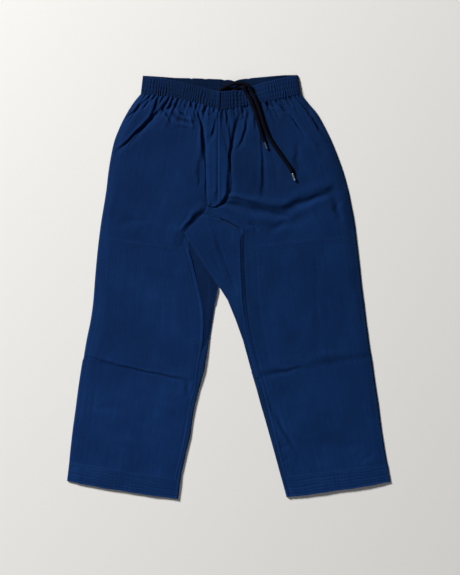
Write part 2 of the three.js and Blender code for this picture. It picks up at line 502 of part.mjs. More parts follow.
// ---------------------------------------------------------------- drawstring
// x, y and, where the cord is not simply lying on the cloth, the height of its centre
const CORD_RIGHT = [[-19.7, 431.8, 5.35], [-16.8, 440.8, 5.4], [-7.3, 448.2, 6.6], [6.2, 453.2, 10.9],
  [19.7, 455.9, 11.2], [33.2, 455.4, 12.2], [45.4, 450.1, 12.9], [54.6, 435.8], [62.4, 420.5], [69.0, 403.6],
  [74.6, 385.6], [81.3, 364.3], [89.4, 340.6], [97.3, 324.9], [107.4, 309.2], [122.1, 288.9], [138.9, 264.2],
  [142.5, 254.7]];
const CORD_LEFT = [[7.3, 430.6, 5.35], [9.6, 437.8, 5.35], [16.3, 444.4, 5.5], [25.5, 448.8, 7.4],
  [34.0, 445.2, 12.2], [39.9, 434.5], [46.0, 422.8], [52.1, 410.4], [57.3, 396.9], [64.2, 374.4],
  [71.4, 349.7], [76.6, 335.0], [80.4, 325.3]];
const restsOn = [rightGrid, leftGrid, frontBandGrid, flyGrid, gussetTopGrid];

function cordOn(points, steps) {
  const plan = new THREE.CatmullRomCurve3(points.map(([x, y]) => new THREE.Vector3(x, y, 0)), false, 'centripetal');
  const n = steps * 2, raw = [];
  for (let k = 0; k <= n; k++) {
    const t = k / n, p = plan.getPoint(t), g = plan.getTangent(t), q = t * (points.length - 1), i = Math.min(points.length - 2, Math.floor(q));
    let z = 0;
    for (let j = -6; j <= 6; j++) {
      const s = j / 6, over = topOver(restsOn, p.x - g.y * s * CORD_W / 2, p.y + g.x * s * CORD_W / 2);
      z = Math.max(z, over + CORD_H / 2 * Math.sqrt(1 - s * s) + 0.6);
    }
    const set = points[i][2], next = points[i + 1][2];
    const known = set !== undefined && next !== undefined;
    raw.push({ x: p.x, y: p.y, z: known ? mix(set, next, q - i) : z, known });
  }
  return raw.map(({ x, y, z, known }, k) => {
    let high = z;
    for (let j = -2; j <= 2 && !known; j++) {
      const near = raw[Math.min(n, Math.max(0, k + j))];
      if (!near.known) high = Math.max(high, near.z);
    }
    return new THREE.Vector3(x, y, high);
  });
}
function tube(points, steps) {
  const path = new THREE.CatmullRomCurve3(points, false, 'centripetal');
  const shape = new THREE.Shape();
  for (let k = 0; k < CORD_SIDES; k++) {        // the path's first normal stands upright
    const q = 2 * Math.PI * k / CORD_SIDES, p = [CORD_H / 2 * Math.cos(q), CORD_W / 2 * Math.sin(q)];
    if (k) shape.lineTo(...p); else shape.moveTo(...p);
  }
  shape.closePath();
  return new THREE.ExtrudeGeometry(shape, { steps, extrudePath: path, bevelEnabled: false, curveSegments: 1 });
}
const LONG_STEPS = 22, SHORT_STEPS = 13;
const longPath = cordOn(CORD_RIGHT, LONG_STEPS), shortPath = cordOn(CORD_LEFT, SHORT_STEPS);

function agletAfter(points) {
  const end = points[points.length - 1], before = points[points.length - 3];
  const dir = end.clone().sub(before).setZ(0).normalize();
  const start = end.clone().addScaledVector(dir, GAP);
  const centreEnd = start.clone().addScaledVector(dir, AGLET_L);
  let lift = -Infinity;
  for (let k = 0; k <= 10; k++) for (let j = -1; j <= 1; j++) {
    const p = start.clone().lerp(centreEnd, k / 10);
    lift = Math.max(lift, topOver(restsOn, p.x - dir.y * j * AGLET_D / 2, p.y + dir.x * j * AGLET_D / 2) + AGLET_D / 2 + 0.35);
  }
  start.z = centreEnd.z = Math.max(lift, 0);
  const r = AGLET_D / 2, bite = 0.5;
  const profile = [[0, 0], [r - bite, 0], [r, bite], [r, AGLET_L - bite], [r - bite, AGLET_L], [0, AGLET_L]].map(([x, y]) => new THREE.Vector2(x, y));
  const g = new THREE.LatheGeometry(profile, 16);
  g.applyQuaternion(new THREE.Quaternion().setFromUnitVectors(new THREE.Vector3(0, 1, 0), dir));
  g.translate(start.x, start.y, start.z);
  return g;
}

// ---------------------------------------------------------------- assembly
const cloth = (hex) => ({ color: hex, roughness: 0.92, metalness: 0 });
const group = new THREE.Group();
group.name = 'trousers';
function add(name, geometry, look) {
  geometry.translate(-CENTRE[0], -CENTRE[1], 0);
  const mesh = new THREE.Mesh(geometry, new THREE.MeshStandardMaterial(look));
  mesh.name = name;
  group.add(mesh);
}
add('back_leg_right', backPanel(RIGHT, INNER_RIGHT, 16.06), cloth(0x12274f));
add('back_leg_left', backPanel(LEFT, INNER_LEFT, 18.06), cloth(0x10244a));
add('front_leg_right', geometryOf(wall(rightGrid, lower(rightGrid, CLOTH))), cloth(0x132b54));
add('front_leg_left', geometryOf(wall(leftGrid, lower(leftGrid, CLOTH))), cloth(0x0f274e));
add('gusset', gusset, cloth(0x122b54));
add('waistband_back', geometryOf(wall(backBandGrid, backBandGrid.map((r) => r.map(([x, y]) => [x, y, 0])))), cloth(0x0b1c3c));
add('waistband_front', geometryOf(wall(frontBandGrid, lower(frontBandGrid, BAND))), cloth(0x0d2246));
add('fly_placket', geometryOf(wall(flyGrid, lower(flyGrid, PATCH))), cloth(0x122b54));
add('knee_patch_right', geometryOf(patchRight.solid), cloth(0x142d57));
add('knee_patch_left', geometryOf(patchLeft.solid), cloth(0x10284f));
add('hem_right', geometryOf(hemRing(RIGHT, INNER_RIGHT)), cloth(0x152e57));
add('hem_left', geometryOf(hemRing(LEFT, INNER_LEFT)), cloth(0x122a52));
add('drawstring_right', tube(longPath, LONG_STEPS), { color: 0x0c0f18, roughness: 0.85, metalness: 0 });
add('drawstring_left', tube(shortPath, SHORT_STEPS), { color: 0x0c0f18, roughness: 0.85, metalness: 0 });
add('aglet_right', agletAfter(longPath), { color: 0xb9bec6, roughness: 0.28, metalness: 1 });
add('aglet_left', agletAfter(shortPath), { color: 0x8c9096, roughness: 0.4, metalness: 1 });

export default group;
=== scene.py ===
import math
import random
import bpy
import numpy as np
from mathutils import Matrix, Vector
from mathutils.bvhtree import BVHTree


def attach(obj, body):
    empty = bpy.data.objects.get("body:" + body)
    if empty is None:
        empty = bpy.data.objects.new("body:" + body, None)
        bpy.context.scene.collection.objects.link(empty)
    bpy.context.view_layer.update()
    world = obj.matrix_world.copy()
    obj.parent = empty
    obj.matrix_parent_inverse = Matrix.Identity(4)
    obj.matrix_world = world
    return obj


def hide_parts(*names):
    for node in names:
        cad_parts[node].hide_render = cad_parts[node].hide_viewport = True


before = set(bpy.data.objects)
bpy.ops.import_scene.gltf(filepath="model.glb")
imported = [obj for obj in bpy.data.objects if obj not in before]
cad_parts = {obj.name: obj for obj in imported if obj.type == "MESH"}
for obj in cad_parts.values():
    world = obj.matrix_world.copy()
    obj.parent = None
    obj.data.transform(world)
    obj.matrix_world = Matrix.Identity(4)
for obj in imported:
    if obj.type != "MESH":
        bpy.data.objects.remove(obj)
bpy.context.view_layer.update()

random.seed(71)
rng = np.random.default_rng(71)

# Millimetres throughout, in the plan's own frame; MM turns them into metres and
# CENTRE moves the plan's middle to the origin.
MM = 0.001
CENTRE = (0.35, 1.21)
THICK = 0.8            # cloth
GRID = 2.3             # spacing of the panels' points

# ------------------------------------------------------------------ camera
PIXEL = 2.25           # millimetres of the plan in one picture element
cam_data = bpy.data.cameras.new("camera")
cam_data.type = "PERSP"
cam_data.sensor_width = 36.0
cam_data.lens = 85.0
cam_data.clip_end = 20.0
cam = bpy.data.objects.new("camera", cam_data)
bpy.context.scene.collection.objects.link(cam)
bpy.context.scene.camera = cam
FIELD = 575 * PIXEL * MM           # the longer side of the picture, at the cloth
cam.location = ((230.0 - 228.5) * PIXEL * MM - CENTRE[0] * MM,
                (287.4 - 287.5) * PIXEL * MM - CENTRE[1] * MM,
                0.994 * FIELD * cam_data.lens / cam_data.sensor_width + 0.006)
cam.rotation_euler = (0, 0, 0)

# ------------------------------------------------------------------ tables
# section rows: side edge x, y; inner edge x, y; bow; upper face at the side edge,
# at mid panel and at the inner edge
XO, YO, XI, YI, BOW, ZO, ZM, ZI = range(8)
RIGHT = np.array([
    [-196.3, 432.9, -21.9, 396.9, 6.8, 5.4, 8.0, 9.5],
    [-213.2, 412.6, -22.2, 376.6, 4.5, 4.4, 9.0, 10.0],
    [-230.1, 385.6, -22.4, 347.4, 2.2, 3.6, 9.5, 10.5],
    [-243.6, 358.6, -22.6, 313.6, 0.0, 3.1, 9.0, 10.5],
    [-255.9, 327.1, -23.1, 279.9, 0.0, 2.9, 8.5, 10.0],
    [-263.8, 291.1, -24.2, 246.1, 0.0, 2.9, 8.0, 9.5],
    [-269.4, 255.1, -30.9, 214.6, 0.0, 2.9, 7.5, 8.5],
    [-273.9, 216.9, -45.6, 182.0, 0.0, 2.9, 7.2, 6.5],
    [-279.6, 180.9, -70.3, 142.6, 0.0, 2.9, 7.0, 4.6],
    [-285.2, 147.1, -86.1, 111.1, 0.0, 2.9, 6.6, 4.3],
    [-289.7, 113.4, -89.4, 88.6, 0.0, 2.9, 6.2, 4.3],
    [-293.1, 84.1, -82.7, 61.6, 0.0, 2.9, 6.0, 4.4],
    [-296.4, 50.4, -74.8, 30.1, 0.0, 2.9, 5.8, 4.6],
    [-299.8, 9.9, -66.9, -3.6, 0.0, 2.9, 5.7, 4.8],
    [-303.2, -32.9, -59.1, -41.9, 0.0, 2.9, 5.7, 5.0],
    [-308.8, -73.4, -56.1, -82.4, 0.0, 2.9, 5.8, 5.2],
    [-316.7, -111.6, -59.1, -129.6, 0.0, 2.9, 6.2, 5.4],
    [-322.3, -143.1, -66.9, -185.9, 0.0, 2.9, 7.0, 5.6],
    [-324.6, -157.7, -69.6, -210.6, 0.0, 2.9, 6.6, 5.2],
    [-327.9, -169.0, -71.9, -226.4, 0.0, 2.9, 4.6, 4.6],
    [-335.8, -219.6, -82.7, -266.9, 0.0, 2.9, 5.0, 4.6],
    [-342.6, -271.4, -90.6, -316.4, 0.0, 2.9, 5.2, 4.6],
    [-349.3, -320.9, -100.0, -365.9, 0.0, 2.9, 5.2, 4.6],
    [-354.9, -370.4, -111.0, -410.9, 0.0, 2.9, 5.0, 4.6],
    [-356.7, -390.6, -114.9, -431.1, -1.1, 3.4, 5.0, 4.8],
    [-361.7, -433.4, -119.1, -472.7, -2.2, 3.6, 5.2, 4.8],
])
LEFT = np.array([
    [161.4, 432.9, -19.7, 396.9, -2.2, 5.4, 8.0, 9.5],
    [178.3, 412.6, -19.9, 376.6, -2.2, 4.4, 9.0, 10.0],
    [197.4, 390.1, -20.1, 347.4, 0.0, 3.6, 9.5, 10.5],
    [213.2, 363.1, -20.4, 313.6, 0.0, 3.1, 9.0, 10.5],
    [228.9, 331.6, -20.8, 279.9, 0.0, 2.9, 8.5, 10.0],
    [243.6, 295.6, -21.9, 246.1, 0.0, 2.9, 8.2, 9.5],
    [257.1, 257.4, -28.7, 214.6, 0.0, 2.9, 8.0, 8.5],
    [268.3, 216.9, -42.2, 182.0, 0.0, 2.9, 7.5, 7.0],
    [274.6, 185.4, -23.1, 158.4, 0.0, 2.9, 7.5, 7.0],
    [280.0, 158.4, 3.9, 142.6, 0.0, 2.9, 7.2, 7.4],
    [283.4, 135.9, 26.9, 126.9, 0.0, 2.9, 7.0, 8.4],
    [285.6, 117.9, 28.0, 93.1, 0.0, 2.9, 6.6, 8.4],
    [289.7, 84.1, 28.7, 57.1, 0.0, 2.9, 6.2, 8.2],
    [294.2, 43.6, 30.5, 16.6, 0.0, 2.9, 5.9, 7.8],
    [298.7, 0.9, 33.2, -28.4, 0.0, 2.9, 5.7, 7.2],
    [304.3, -41.9, 38.8, -73.4, 0.0, 2.9, 5.6, 6.6],
    [309.9, -86.9, 47.8, -122.9, 0.0, 2.9, 5.7, 6.2],
    [316.2, -134.1, 61.3, -181.4, 0.0, 2.9, 6.2, 6.0],
    [319.6, -152.1, 68.5, -201.6, 0.0, 2.9, 5.2, 5.4],
    [322.1, -167.9, 73.7, -219.6, 0.0, 2.9, 5.4, 5.2],
    [327.9, -210.6, 84.5, -260.1, 0.0, 2.9, 5.4, 4.9],
    [335.8, -262.4, 98.0, -314.1, 0.0, 2.9, 5.2, 4.7],
    [342.6, -316.4, 110.4, -365.9, 0.0, 2.9, 5.0, 4.6],
    [351.6, -372.6, 120.5, -408.6, 0.0, 2.9, 5.0, 4.6],
    [355.4, -396.2, 124.3, -424.4, -1.1, 3.4, 5.0, 4.8],
    [362.4, -435.6, 132.6, -469.4, -1.8, 3.6, 5.2, 4.8],
])
CROTCH, HEM_TOP, LEG_END = 7, 24, 25
FORK_Y = 1.0
INNER_RIGHT = [(-21.2, 440), (-21.2, 1.0), (-25.3, -12.6), (-30.9, -44.1), (-37.0, -84.6),
               (-44.4, -125.1), (-54.6, -188.1), (-65.8, -226.4), (-74.8, -262.4), (-81.6, -298.4),
               (-86.1, -334.4), (-95.1, -370.4), (-105.2, -415.4), (-113.1, -473.9), (-113.9, -480)]
INNER_LEFT = [(-20.7, 440), (-20.7, 1.0), (-9.6, -10.4), (-2.8, -28.4), (6.2, -46.4),
              (19.7, -82.4), (33.2, -118.4), (42.2, -154.4), (51.6, -190.4), (62.4, -226.4),
              (72.1, -262.4), (82.7, -298.4), (92.8, -334.4), (102.9, -370.4), (112.6, -406.4),
              (130.4, -471.6), (132.7, -480)]
FRONT_BAND_TOP = [(-191.8, 472.3), (-142.3, 466.6), (-108.6, 459.9), (-81.6, 453.1),
                  (-45.6, 444.1), (-20.8, 437.6), (-5.1, 438.5), (20, 440.0), (30, 441.2), (37, 444.2),
                  (75.9, 457.6), (123.2, 468.9), (154.2, 474.5)]
BACK_BAND_TOP = [(-191.8, 474.5), (-153.6, 472.3), (-119.8, 469.6), (-81.6, 468.9),
                 (-20.8, 466.6), (15.2, 464.4), (39.9, 468.2), (71.4, 471.1), (123.2, 475.6), (154.7, 476.1)]
BACK_BAND_FOOT = [(-196.3, 432.9), (-108.6, 426.1), (-20.8, 422.8), (71.4, 426.1), (161.4, 432.9)]

# start x, y; bow to the left; end x, y; half width; depth; bulge beside it
# (above zero on the right of the run); crispness
FOLDS = [
    ("hip crease high", -178.3, 426.1, 1.3, -240.2, 369.9, 4.0, -2.6, 1.2, 1.3),
    ("hip crease main", -137.8, 414.9, 2.7, -248.1, 306.9, 5.8, -4.6, 2.2, 1.4),
    ("hip crease spur", -158.1, 410.4, -2.2, -173.8, 378.9, 4.0, -2.2, 0.9, 1.4),
    ("waist gather a", -117.6, 412.6, 0.0, -146.8, 394.6, 3.8, -2.8, 1.3, 1.4),
    ("waist gather b", -122.1, 388.0, -4.5, -81.6, 364.0, 3.0, -4.6, 2.4, 1.6),
    ("waist gather c", -95.1, 412.6, 0.9, -79.3, 356.4, 4.6, 3.0, 0.0, 1.6),
    ("waist gather d", -160.9, 391.0, 0.0, -149.6, 382.0, 3.2, -1.2, 0.5, 1.5),
    ("fly side fold", -70.3, 403.6, 2.7, -52.3, 286.6, 6.0, -5.4, 2.4, 1.3),
    ("fly side fold foot", -61.3, 295.6, 1.3, -68.1, 225.9, 8.0, -1.5, 0.6, 1.8),
    ("centre gather a", -50.1, 394.6, 0.0, -34.3, 378.9, 3.6, -2.2, 0.7, 1.4),
    ("centre gather b", -29.8, 376.6, 1.1, -36.6, 333.9, 3.6, -2.2, 0.7, 1.5),
    ("centre gather c", -41.1, 346.0, 0.5, -47.8, 331.0, 3.8, -1.6, 0.5, 1.5),
    ("centre trough", 26.4, 396.9, -6.5, 0.0, 218.0, 7.0, -4.4, 1.5, 1.4),
    ("centre trough side", 46.7, 401.4, 3.6, 21.9, 311.4, 5.4, -3.0, 1.3, 1.4),
    ("centre trough nick", 37.7, 381.0, 0.0, 28.7, 374.0, 3.8, -1.7, 0.5, 1.5),
    ("crotch trough", 2.0, 246.0, 16.0, -34.3, 177.5, 5.4, -3.8, 1.2, 1.5),
    ("front long fold", 71.4, 358.6, 3.6, 74.8, 203.4, 4.8, -2.8, 1.5, 1.4),
    ("crotch pull", -24.0, 191.0, 0.5, 128.0, 157.0, 8.6, -4.6, 3.2, 1.9),
    ("crotch pull brow", -6.0, 206.0, 0.0, 135.0, 182.0, 9.3, 5.7, 0.0, 2.0),
    ("crotch pull far", 106.0, 159.0, 2.0, 235.0, 217.0, 12.5, -3.4, 1.2, 1.95),
    ("crotch pull turn", 226.0, 219.0, 4.0, 250.0, 152.0, 12.0, -2.7, 1.0, 1.95),
    ("hip trough soft", 93.9, 126.9, 2.2, 181.7, 160.6, 13.0, -1.9, 0.8, 1.9),
    ("hip crescent", 48.9, 144.9, -1.5, 68.0, 129.0, 6.0, -1.6, 0.7, 1.7),
    ("left hip crease a", 105.2, 419.4, 2.7, 168.2, 340.6, 4.2, -4.6, 2.2, 1.4),
    ("left hip ridge", 161.4, 349.6, 2.2, 204.2, 295.6, 7.0, 1.7, 0.0, 1.8),
    ("left hip crease b", 129.9, 426.1, 1.3, 155.8, 387.9, 3.8, -2.2, 0.9, 1.4),
    ("left hip crease c", 155.8, 423.9, -3.6, 225.6, 331.6, 4.8, -2.5, 1.1, 1.4),
    ("left hip shade", 152.4, 322.6, 1.3, 156.9, 250.6, 11.0, -1.7, 0.8, 1.9),
    ("left gather nick", 86.1, 412.6, 0.5, 87.3, 392.6, 3.8, -2.2, 0.8, 1.4),
    ("left gather pit", 94.0, 412.0, 0.0, 104.0, 402.0, 5.5, -1.6, 0.5, 1.7),
    ("left soft line", 197.4, 48.2, 0.6, 199.7, -179.1, 9.0, -0.35, 0.2, 2.0),
    ("right knee crease", -326.0, -152.6, -2.2, -212.1, -181.9, 4.6, -1.5, -1.2, 1.4),
    ("right knee crease in", -234.6, -177.4, -1.1, -90.1, -208.0, 5.4, -2.3, -1.6, 1.4),
    ("right knee hook", -93.0, -206.0, 3.0, -93.0, -246.0, 9.0, -1.4, 0.5, 1.95),
    ("left knee crease in", 62.4, -201.6, -1.3, 161.4, -179.1, 7.0, -1.5, -1.0, 1.9),
    ("left knee crease", 161.4, -179.1, -1.8, 321.2, -152.1, 9.0, -0.7, -0.6, 1.9),
    ("right thigh crease", -281.8, 153.9, 1.3, -180.0, 146.0, 11.0, -1.0, 0.5, 2.0),
    ("right thigh crease low", -266.1, 142.6, 0.5, -203.1, 135.9, 9.0, -0.6, 0.3, 2.0),
    ("left shin furrow", 87.2, -248.9, -4.5, 161.4, -372.6, 9.0, -1.7, 1.1, 1.9),
    ("left shin pocket a", 115.0, -349.0, 0.0, 130.0, -362.0, 7.0, -0.8, 0.4, 2.0),
    ("left shin pocket b", 124.0, -383.0, 0.0, 138.0, -394.0, 7.0, -0.8, 0.4, 2.0),
    ("left shin band", 201.9, -352.4, 0.0, 300.9, -354.6, 14.0, -0.8, 0.5, 2.0),
    ("left shin band low", 296.4, -392.9, 1.1, 332.4, -363.6, 9.0, -0.8, 0.4, 2.0),
    ("right shin soft a", -310.0, -262.0, 4.0, -180.0, -300.0, 14.0, -0.9, 0.7, 2.0),
    ("right shin soft b", -270.0, -345.0, -5.0, -150.0, -330.0, 15.0, 0.9, 0.0, 2.0),
    ("right thigh soft", -250.0, 60.0, 6.0, -140.0, -60.0, 18.0, 0.8, 0.0, 2.0),
    ("left thigh soft", 130.0, 60.0, -8.0, 240.0, -70.0, 18.0, 0.8, 0.0, 2.0),
    ("right hip soft", -225.0, 300.0, 6.0, -150.0, 190.0, 16.0, -1.0, 0.8, 2.0),
    ("left hip soft", 110.0, 320.0, -5.0, 130.0, 240.0, 14.0, 1.1, 0.0, 2.0),
    ("fly edge", -52.3, 331.6, 0.0, -48.9, 187.6, 3.4, -2.8, 0.0, 1.5),
    ("crotch pull far brow", 118.0, 183.0, 2.0, 228.0, 235.0, 12.0, 2.6, 0.0, 2.0),
    ("crumple a", -150.0, 398.0, 1.5, -128.0, 371.0, 3.0, -3.8, 2.2, 1.6),
    ("crumple b", -110.0, 396.0, -1.5, -92.0, 380.0, 2.6, -3.2, 1.7, 1.6),
    ("crumple c", -133.0, 380.0, 1.2, -117.0, 365.0, 3.0, -2.0, 1.2, 1.6),
    ("crumple d", 92.0, 404.0, 1.2, 112.0, 380.0, 3.0, -3.2, 1.8, 1.6),
    ("crumple e", 112.0, 408.0, -1.2, 132.0, 392.0, 2.8, -2.8, 1.5, 1.6),
    ("crumple f", 56.0, 398.0, 0.8, 61.0, 352.0, 3.0, -2.2, 1.4, 1.6),
    ("gusset brow", -109.5, 129.5, 0.0, -54.5, 185.0, 8.4, 3.0, 0.0, 2.0),
    ("waist gather b brow", -118.0, 396.0, -4.5, -78.0, 372.0, 4.6, 3.4, 0.0, 1.8),
    ("fly nick a", -101.8, 414.9, 1.3, -86.1, 383.4, 2.9, -3.2, 0.9, 1.4),
    ("fly nick b", -86.1, 414.9, -1.8, -71.4, 392.4, 2.7, -3.5, 0.9, 1.4),
    ("fly nick c", -63.6, 394.6, 1.1, -48.9, 383.4, 2.5, -2.8, 0.7, 1.4),
    ("fly nick d", -50.1, 383.4, -1.8, -34.3, 391.3, 2.5, -2.6, 0.7, 1.4),
    ("fly nick e", -27.6, 378.9, 2.2, -45.6, 322.6, 2.7, -2.8, 1.0, 1.4),
    ("fly nick f", -79.3, 394.6, 1.3, -64.7, 360.9, 2.9, -2.6, 0.8, 1.4),
    ("fly nick g", -122.1, 410.4, -1.8, -97.3, 394.6, 2.9, -2.6, 0.8, 1.4),
    ("fly nick h", -45.6, 412.6, 0.9, -56.8, 392.4, 2.5, -2.3, 0.7, 1.4),
    ("centre nick a", -9.6, 412.6, 1.3, -2.8, 360.9, 3.1, -3.2, 1.2, 1.4),
    ("centre nick b", 8.4, 417.1, 0.9, 15.2, 381.1, 2.7, -2.8, 0.8, 1.4),
    ("centre nick c", 37.7, 414.9, -1.3, 33.2, 378.9, 2.9, -2.8, 0.9, 1.4),
    ("centre nick d", -0.6, 381.1, 1.3, 6.2, 309.1, 3.8, -2.0, 1.0, 1.5),
    ("right nick a", 84.9, 412.6, 1.3, 107.4, 396.9, 3.8, -3.2, 0.9, 1.5),
    ("right nick b", 116.4, 426.1, 1.8, 141.2, 403.6, 3.1, -2.8, 0.9, 1.4),
    ("right nick c", 152.4, 421.6, 1.8, 181.7, 385.6, 3.1, -2.9, 1.0, 1.4),
    ("right nick d", 170.4, 408.1, 2.7, 201.9, 349.6, 3.4, -2.5, 1.0, 1.5),
    ("left nick a", -176.1, 423.9, 1.3, -191.8, 399.1, 2.9, -2.8, 0.9, 1.4),
    ("left nick b", -158.1, 419.4, 1.3, -173.8, 385.6, 3.1, -3.2, 1.2, 1.4),
    ("left nick c", -142.3, 414.9, 0.9, -153.6, 378.9, 2.9, -2.5, 0.8, 1.4),
    ("hip fan a", -198.6, 412.6, 2.2, -227.8, 367.6, 3.0, -1.9, 0.9, 1.4),
    ("hip fan b", -182.8, 374.4, 2.7, -225.6, 313.6, 3.6, -1.8, 0.9, 1.5),
]

# ------------------------------------------------------------------ helpers
def ease(t):
    c = np.clip(t, 0.0, 1.0)
    return c * c * (3 - 2 * c)


def along_y(line, y):
    pts = np.array(line)[::-1]
    return np.interp(y, pts[:, 1], pts[:, 0])


def along_x(line, x):
    pts = np.array(line)
    return np.interp(x, pts[:, 0], pts[:, 1])


def spline(table, t):
    t = np.atleast_1d(np.asarray(t, float))
    n = len(table) - 1
    k = np.clip(np.floor(t).astype(int), 0, n - 1)
    f = (t - k)[:, None]
    a, b, c, d = table[np.maximum(0, k - 1)], table[k], table[k + 1], table[np.minimum(n, k + 2)]
    return 0.5 * (2 * b + (c - a) * f + (2 * a - 5 * b + 4 * c - d) * f * f + (3 * b - a - 3 * c + d) * f ** 3)


def fold_height(x, y):
    h = np.zeros_like(x)
    for name, x0, y0, bow, x1, y1, width, depth, bulge, crisp in FOLDS:
        dx, dy = x1 - x0, y1 - y0
        length = math.hypot(dx, dy)
        ux, uy = dx / length, dy / length
        px, py = x - x0, y - y0
        t = (px * ux + py * uy) / length
        inside = np.clip(0.06 + 0.88 * t, 0, 1)
        taper = np.where((t > -0.07) & (t < 1.07), np.maximum(0, np.sin(np.pi * inside)) ** 0.75, 0)
        wander = 0.18 * width * np.sin(7.1 * t + x0) + 0.10 * width * np.sin(17.3 * t + y0)
        d = -px * uy + py * ux - bow * 4 * t * (1 - t) - wander
        w = width * (0.8 + 0.3 * np.sin(4.7 * t + 0.31 * x0))
        if depth < 0 and crisp < 1.85:
            # a crease is steep on its upper left bank and runs out slowly on the other
            steep = 1 if -uy * -0.74 + ux * 0.67 > 0 else -1
            w = w * np.where(d * steep > 0, 0.66, 1.35)
        side = -1 if bulge > 0 else 1
        sink = depth * 1.22 if depth < 0 else depth
        h = h + taper * (sink * np.exp(-(np.abs(d) / w) ** crisp)
                         + abs(bulge) * np.exp(-((d - side * 1.8 * w) / (1.35 * w)) ** 2))
    return h


WAVES = [(rng.uniform(0, 2 * math.pi), rng.uniform(28, 120), rng.uniform(0, 2 * math.pi), rng.uniform(0.5, 1.0)) for _ in range(16)]
RIPPLES = [(rng.uniform(0, 2 * math.pi), rng.uniform(9, 24), rng.uniform(0, 2 * math.pi), rng.uniform(0.4, 1.0)) for _ in range(14)]


def lie(x, y):
    """Slow unevenness of cloth that has been smoothed out by hand."""
    h = np.zeros_like(x)
    for a, length, phase, size in WAVES:
        h += 0.10 * size * np.sin((x * math.cos(a) + y * math.sin(a)) * 2 * math.pi / length + phase)
    for a, length, phase, size in RIPPLES:
        h += 0.018 * size * np.sin((x * math.cos(a) + y * math.sin(a)) * 2 * math.pi / length + phase)
    return h


def pucker(s, d, pitch, reach, size, seed):
    """Ripples drawn up by a stitched line: s along it, d away from it."""
    wobble = 0.35 * np.sin(s / 41.0 + seed) + 0.3 * np.sin(s / 17.0 + 2.3 * seed)
    return size * np.exp(-(d / reach) ** 2) * np.sin(2 * math.pi * (s / pitch + wobble)) * (0.6 + 0.4 * np.sin(s / 29.0 + 3.1 * seed))


# gathers under the waistband: place across the panel, half width, length, height
def gather_table(count, seed):
    r = np.random.default_rng(seed)
    out = []
    for k in range(count):
        u = (k + r.uniform(0.15, 0.85)) / count
        deep = r.random()
        out.append((u, r.uniform(1.5, 2.7), 15 + 68 * deep ** 2, (1.3 + 2.3 * r.random()) * (1 if k % 2 else -1), r.uniform(-0.16, 0.16)))
    return out


GATHERS = {"right": gather_table(34, 5), "left": gather_table(34, 9)}


def gathers(side, u, span, drop):
    """u across the panel, span its width there, drop the way down from the band."""
    h = np.zeros_like(u)
    for u0, half, length, height, lean in GATHERS[side]:
        d = (u - u0 - lean * drop / span) * span
        widen = half * (1 + 0.9 * drop / length)
        h += height * np.exp(-(d / widen) ** 2) * np.clip(1 - drop / length, 0, 1) ** 1.4
    return h


def section(table, side, T, U):
    """Points [row][column] of a front panel's upper face."""
    s = spline(table, T)
    xo, yo, xi, yi, bow, zo, zm, zi = [s[:, k][:, None] for k in range(8)]
    U = np.asarray(U, float)
    if U.ndim == 1:
        U = np.broadcast_to(U[None, :], (len(s), len(U)))
    T2 = np.broadcast_to(np.asarray(T, float)[:, None], U.shape)
    w = np.hypot(xi - xo, yi - yo)
    x = xo + (xi - xo) * U
    y = yo + (yi - yo) * U + bow * 4 * U * (1 - U)
    z = zo + (zm - zo) * np.sin(0.5 * np.pi * np.minimum(1, U * w / 24.0))
    z = z + (zi - zm) * ease((U - 0.55) / 0.45)
    fade = np.minimum(1, U * w / 9.0)
    low = ease(T2 - CROTCH)
    fade = fade * (1 + (np.minimum(1, (1 - U) * w / 8.0) - 1) * low)
    fade = fade * np.where(T2 < 1, 0.7 + 0.3 * T2, 1)
    top = spline(table, np.zeros(1))[0]
    drop = np.hypot(top[YO] + (top[YI] - top[YO]) * U - y, 0) * 1.02
    free = fold_height(x, y) + lie(x, y)
    g = gathers(side, U, w, drop) * np.minimum(1, drop / 2.0 + 0.35)
    # stitched seams draw the cloth up a little beside them
    run = -y
    seam = pucker(run, (U * w) - 5.0, 11.0, 7.0, 0.22, 1.7 if side == "right" else 4.1)
    seam = seam + low * pucker(run, ((1 - U) * w) - 4.0, 9.5, 6.0, 0.24, 2.9)
    # felled seam beside the inner edge: a low ridge and a line of stitches
    inner = (1 - U) * w
    corner = ease((T2 - (7.05 if side == "right" else 7.9)) / 0.5) * ease((10.3 - T2) / 0.6)
    fell = low * (1 - corner) * (0.6 * ease(1.5 - inner / 5.0) - 0.6 * np.exp(-((inner - 7.5) / 1.5) ** 2))
    shin = ease((T2 - (15.8 if side == "right" else 17.2)) / 0.8)
    fell = fell - shin * (0.9 if side == "right" else 1.5) * np.exp(-(inner / 2.0) ** 2)
    side_edge = 0.25 * ease(1.4 - (U * w) / 7.0) - 0.16 * np.exp(-((U * w - 9.5) / 1.4) ** 2)
    if side == "left":
        # deep seam line at the top of the gusset
        beside = ease((T2 - 9.8) / 0.7) * ease((17.5 - T2) / 5.0)
        fell = fell - beside * (2.0 * (1 - np.exp(-inner / 9.0)) * np.exp(-(inner / 46.0) ** 2) + 0.4 * ease((inner - 0.3) / 2.0) * np.exp(-(inner / 6.0) ** 2))
        fell = fell - corner * (5.0 * np.exp(-(inner / 2.7) ** 2) - 0.9 * np.exp(-((inner - 9.0) / 5.0) ** 2))
    else:
        # the panel dips under the gusset's folded edge
        fell = fell - corner * (3.3 * np.exp(-(inner / 12.5) ** 2) - 1.1 * np.exp(-((inner - 34.0) / 14.0) ** 2))
    z = z + fade * (free + g + seam) + fell + side_edge * np.minimum(1, U * w / 3.0)
    # the edge turns down to meet the panel beneath
    turn = np.clip(1 - U * w / 2.2, 0, 1)
    z = z - 1.5 * turn ** 2
    floor = 2.9 - 1.5 * turn ** 2
    return np.stack([x, y, np.maximum(floor, z)], axis=-1), w


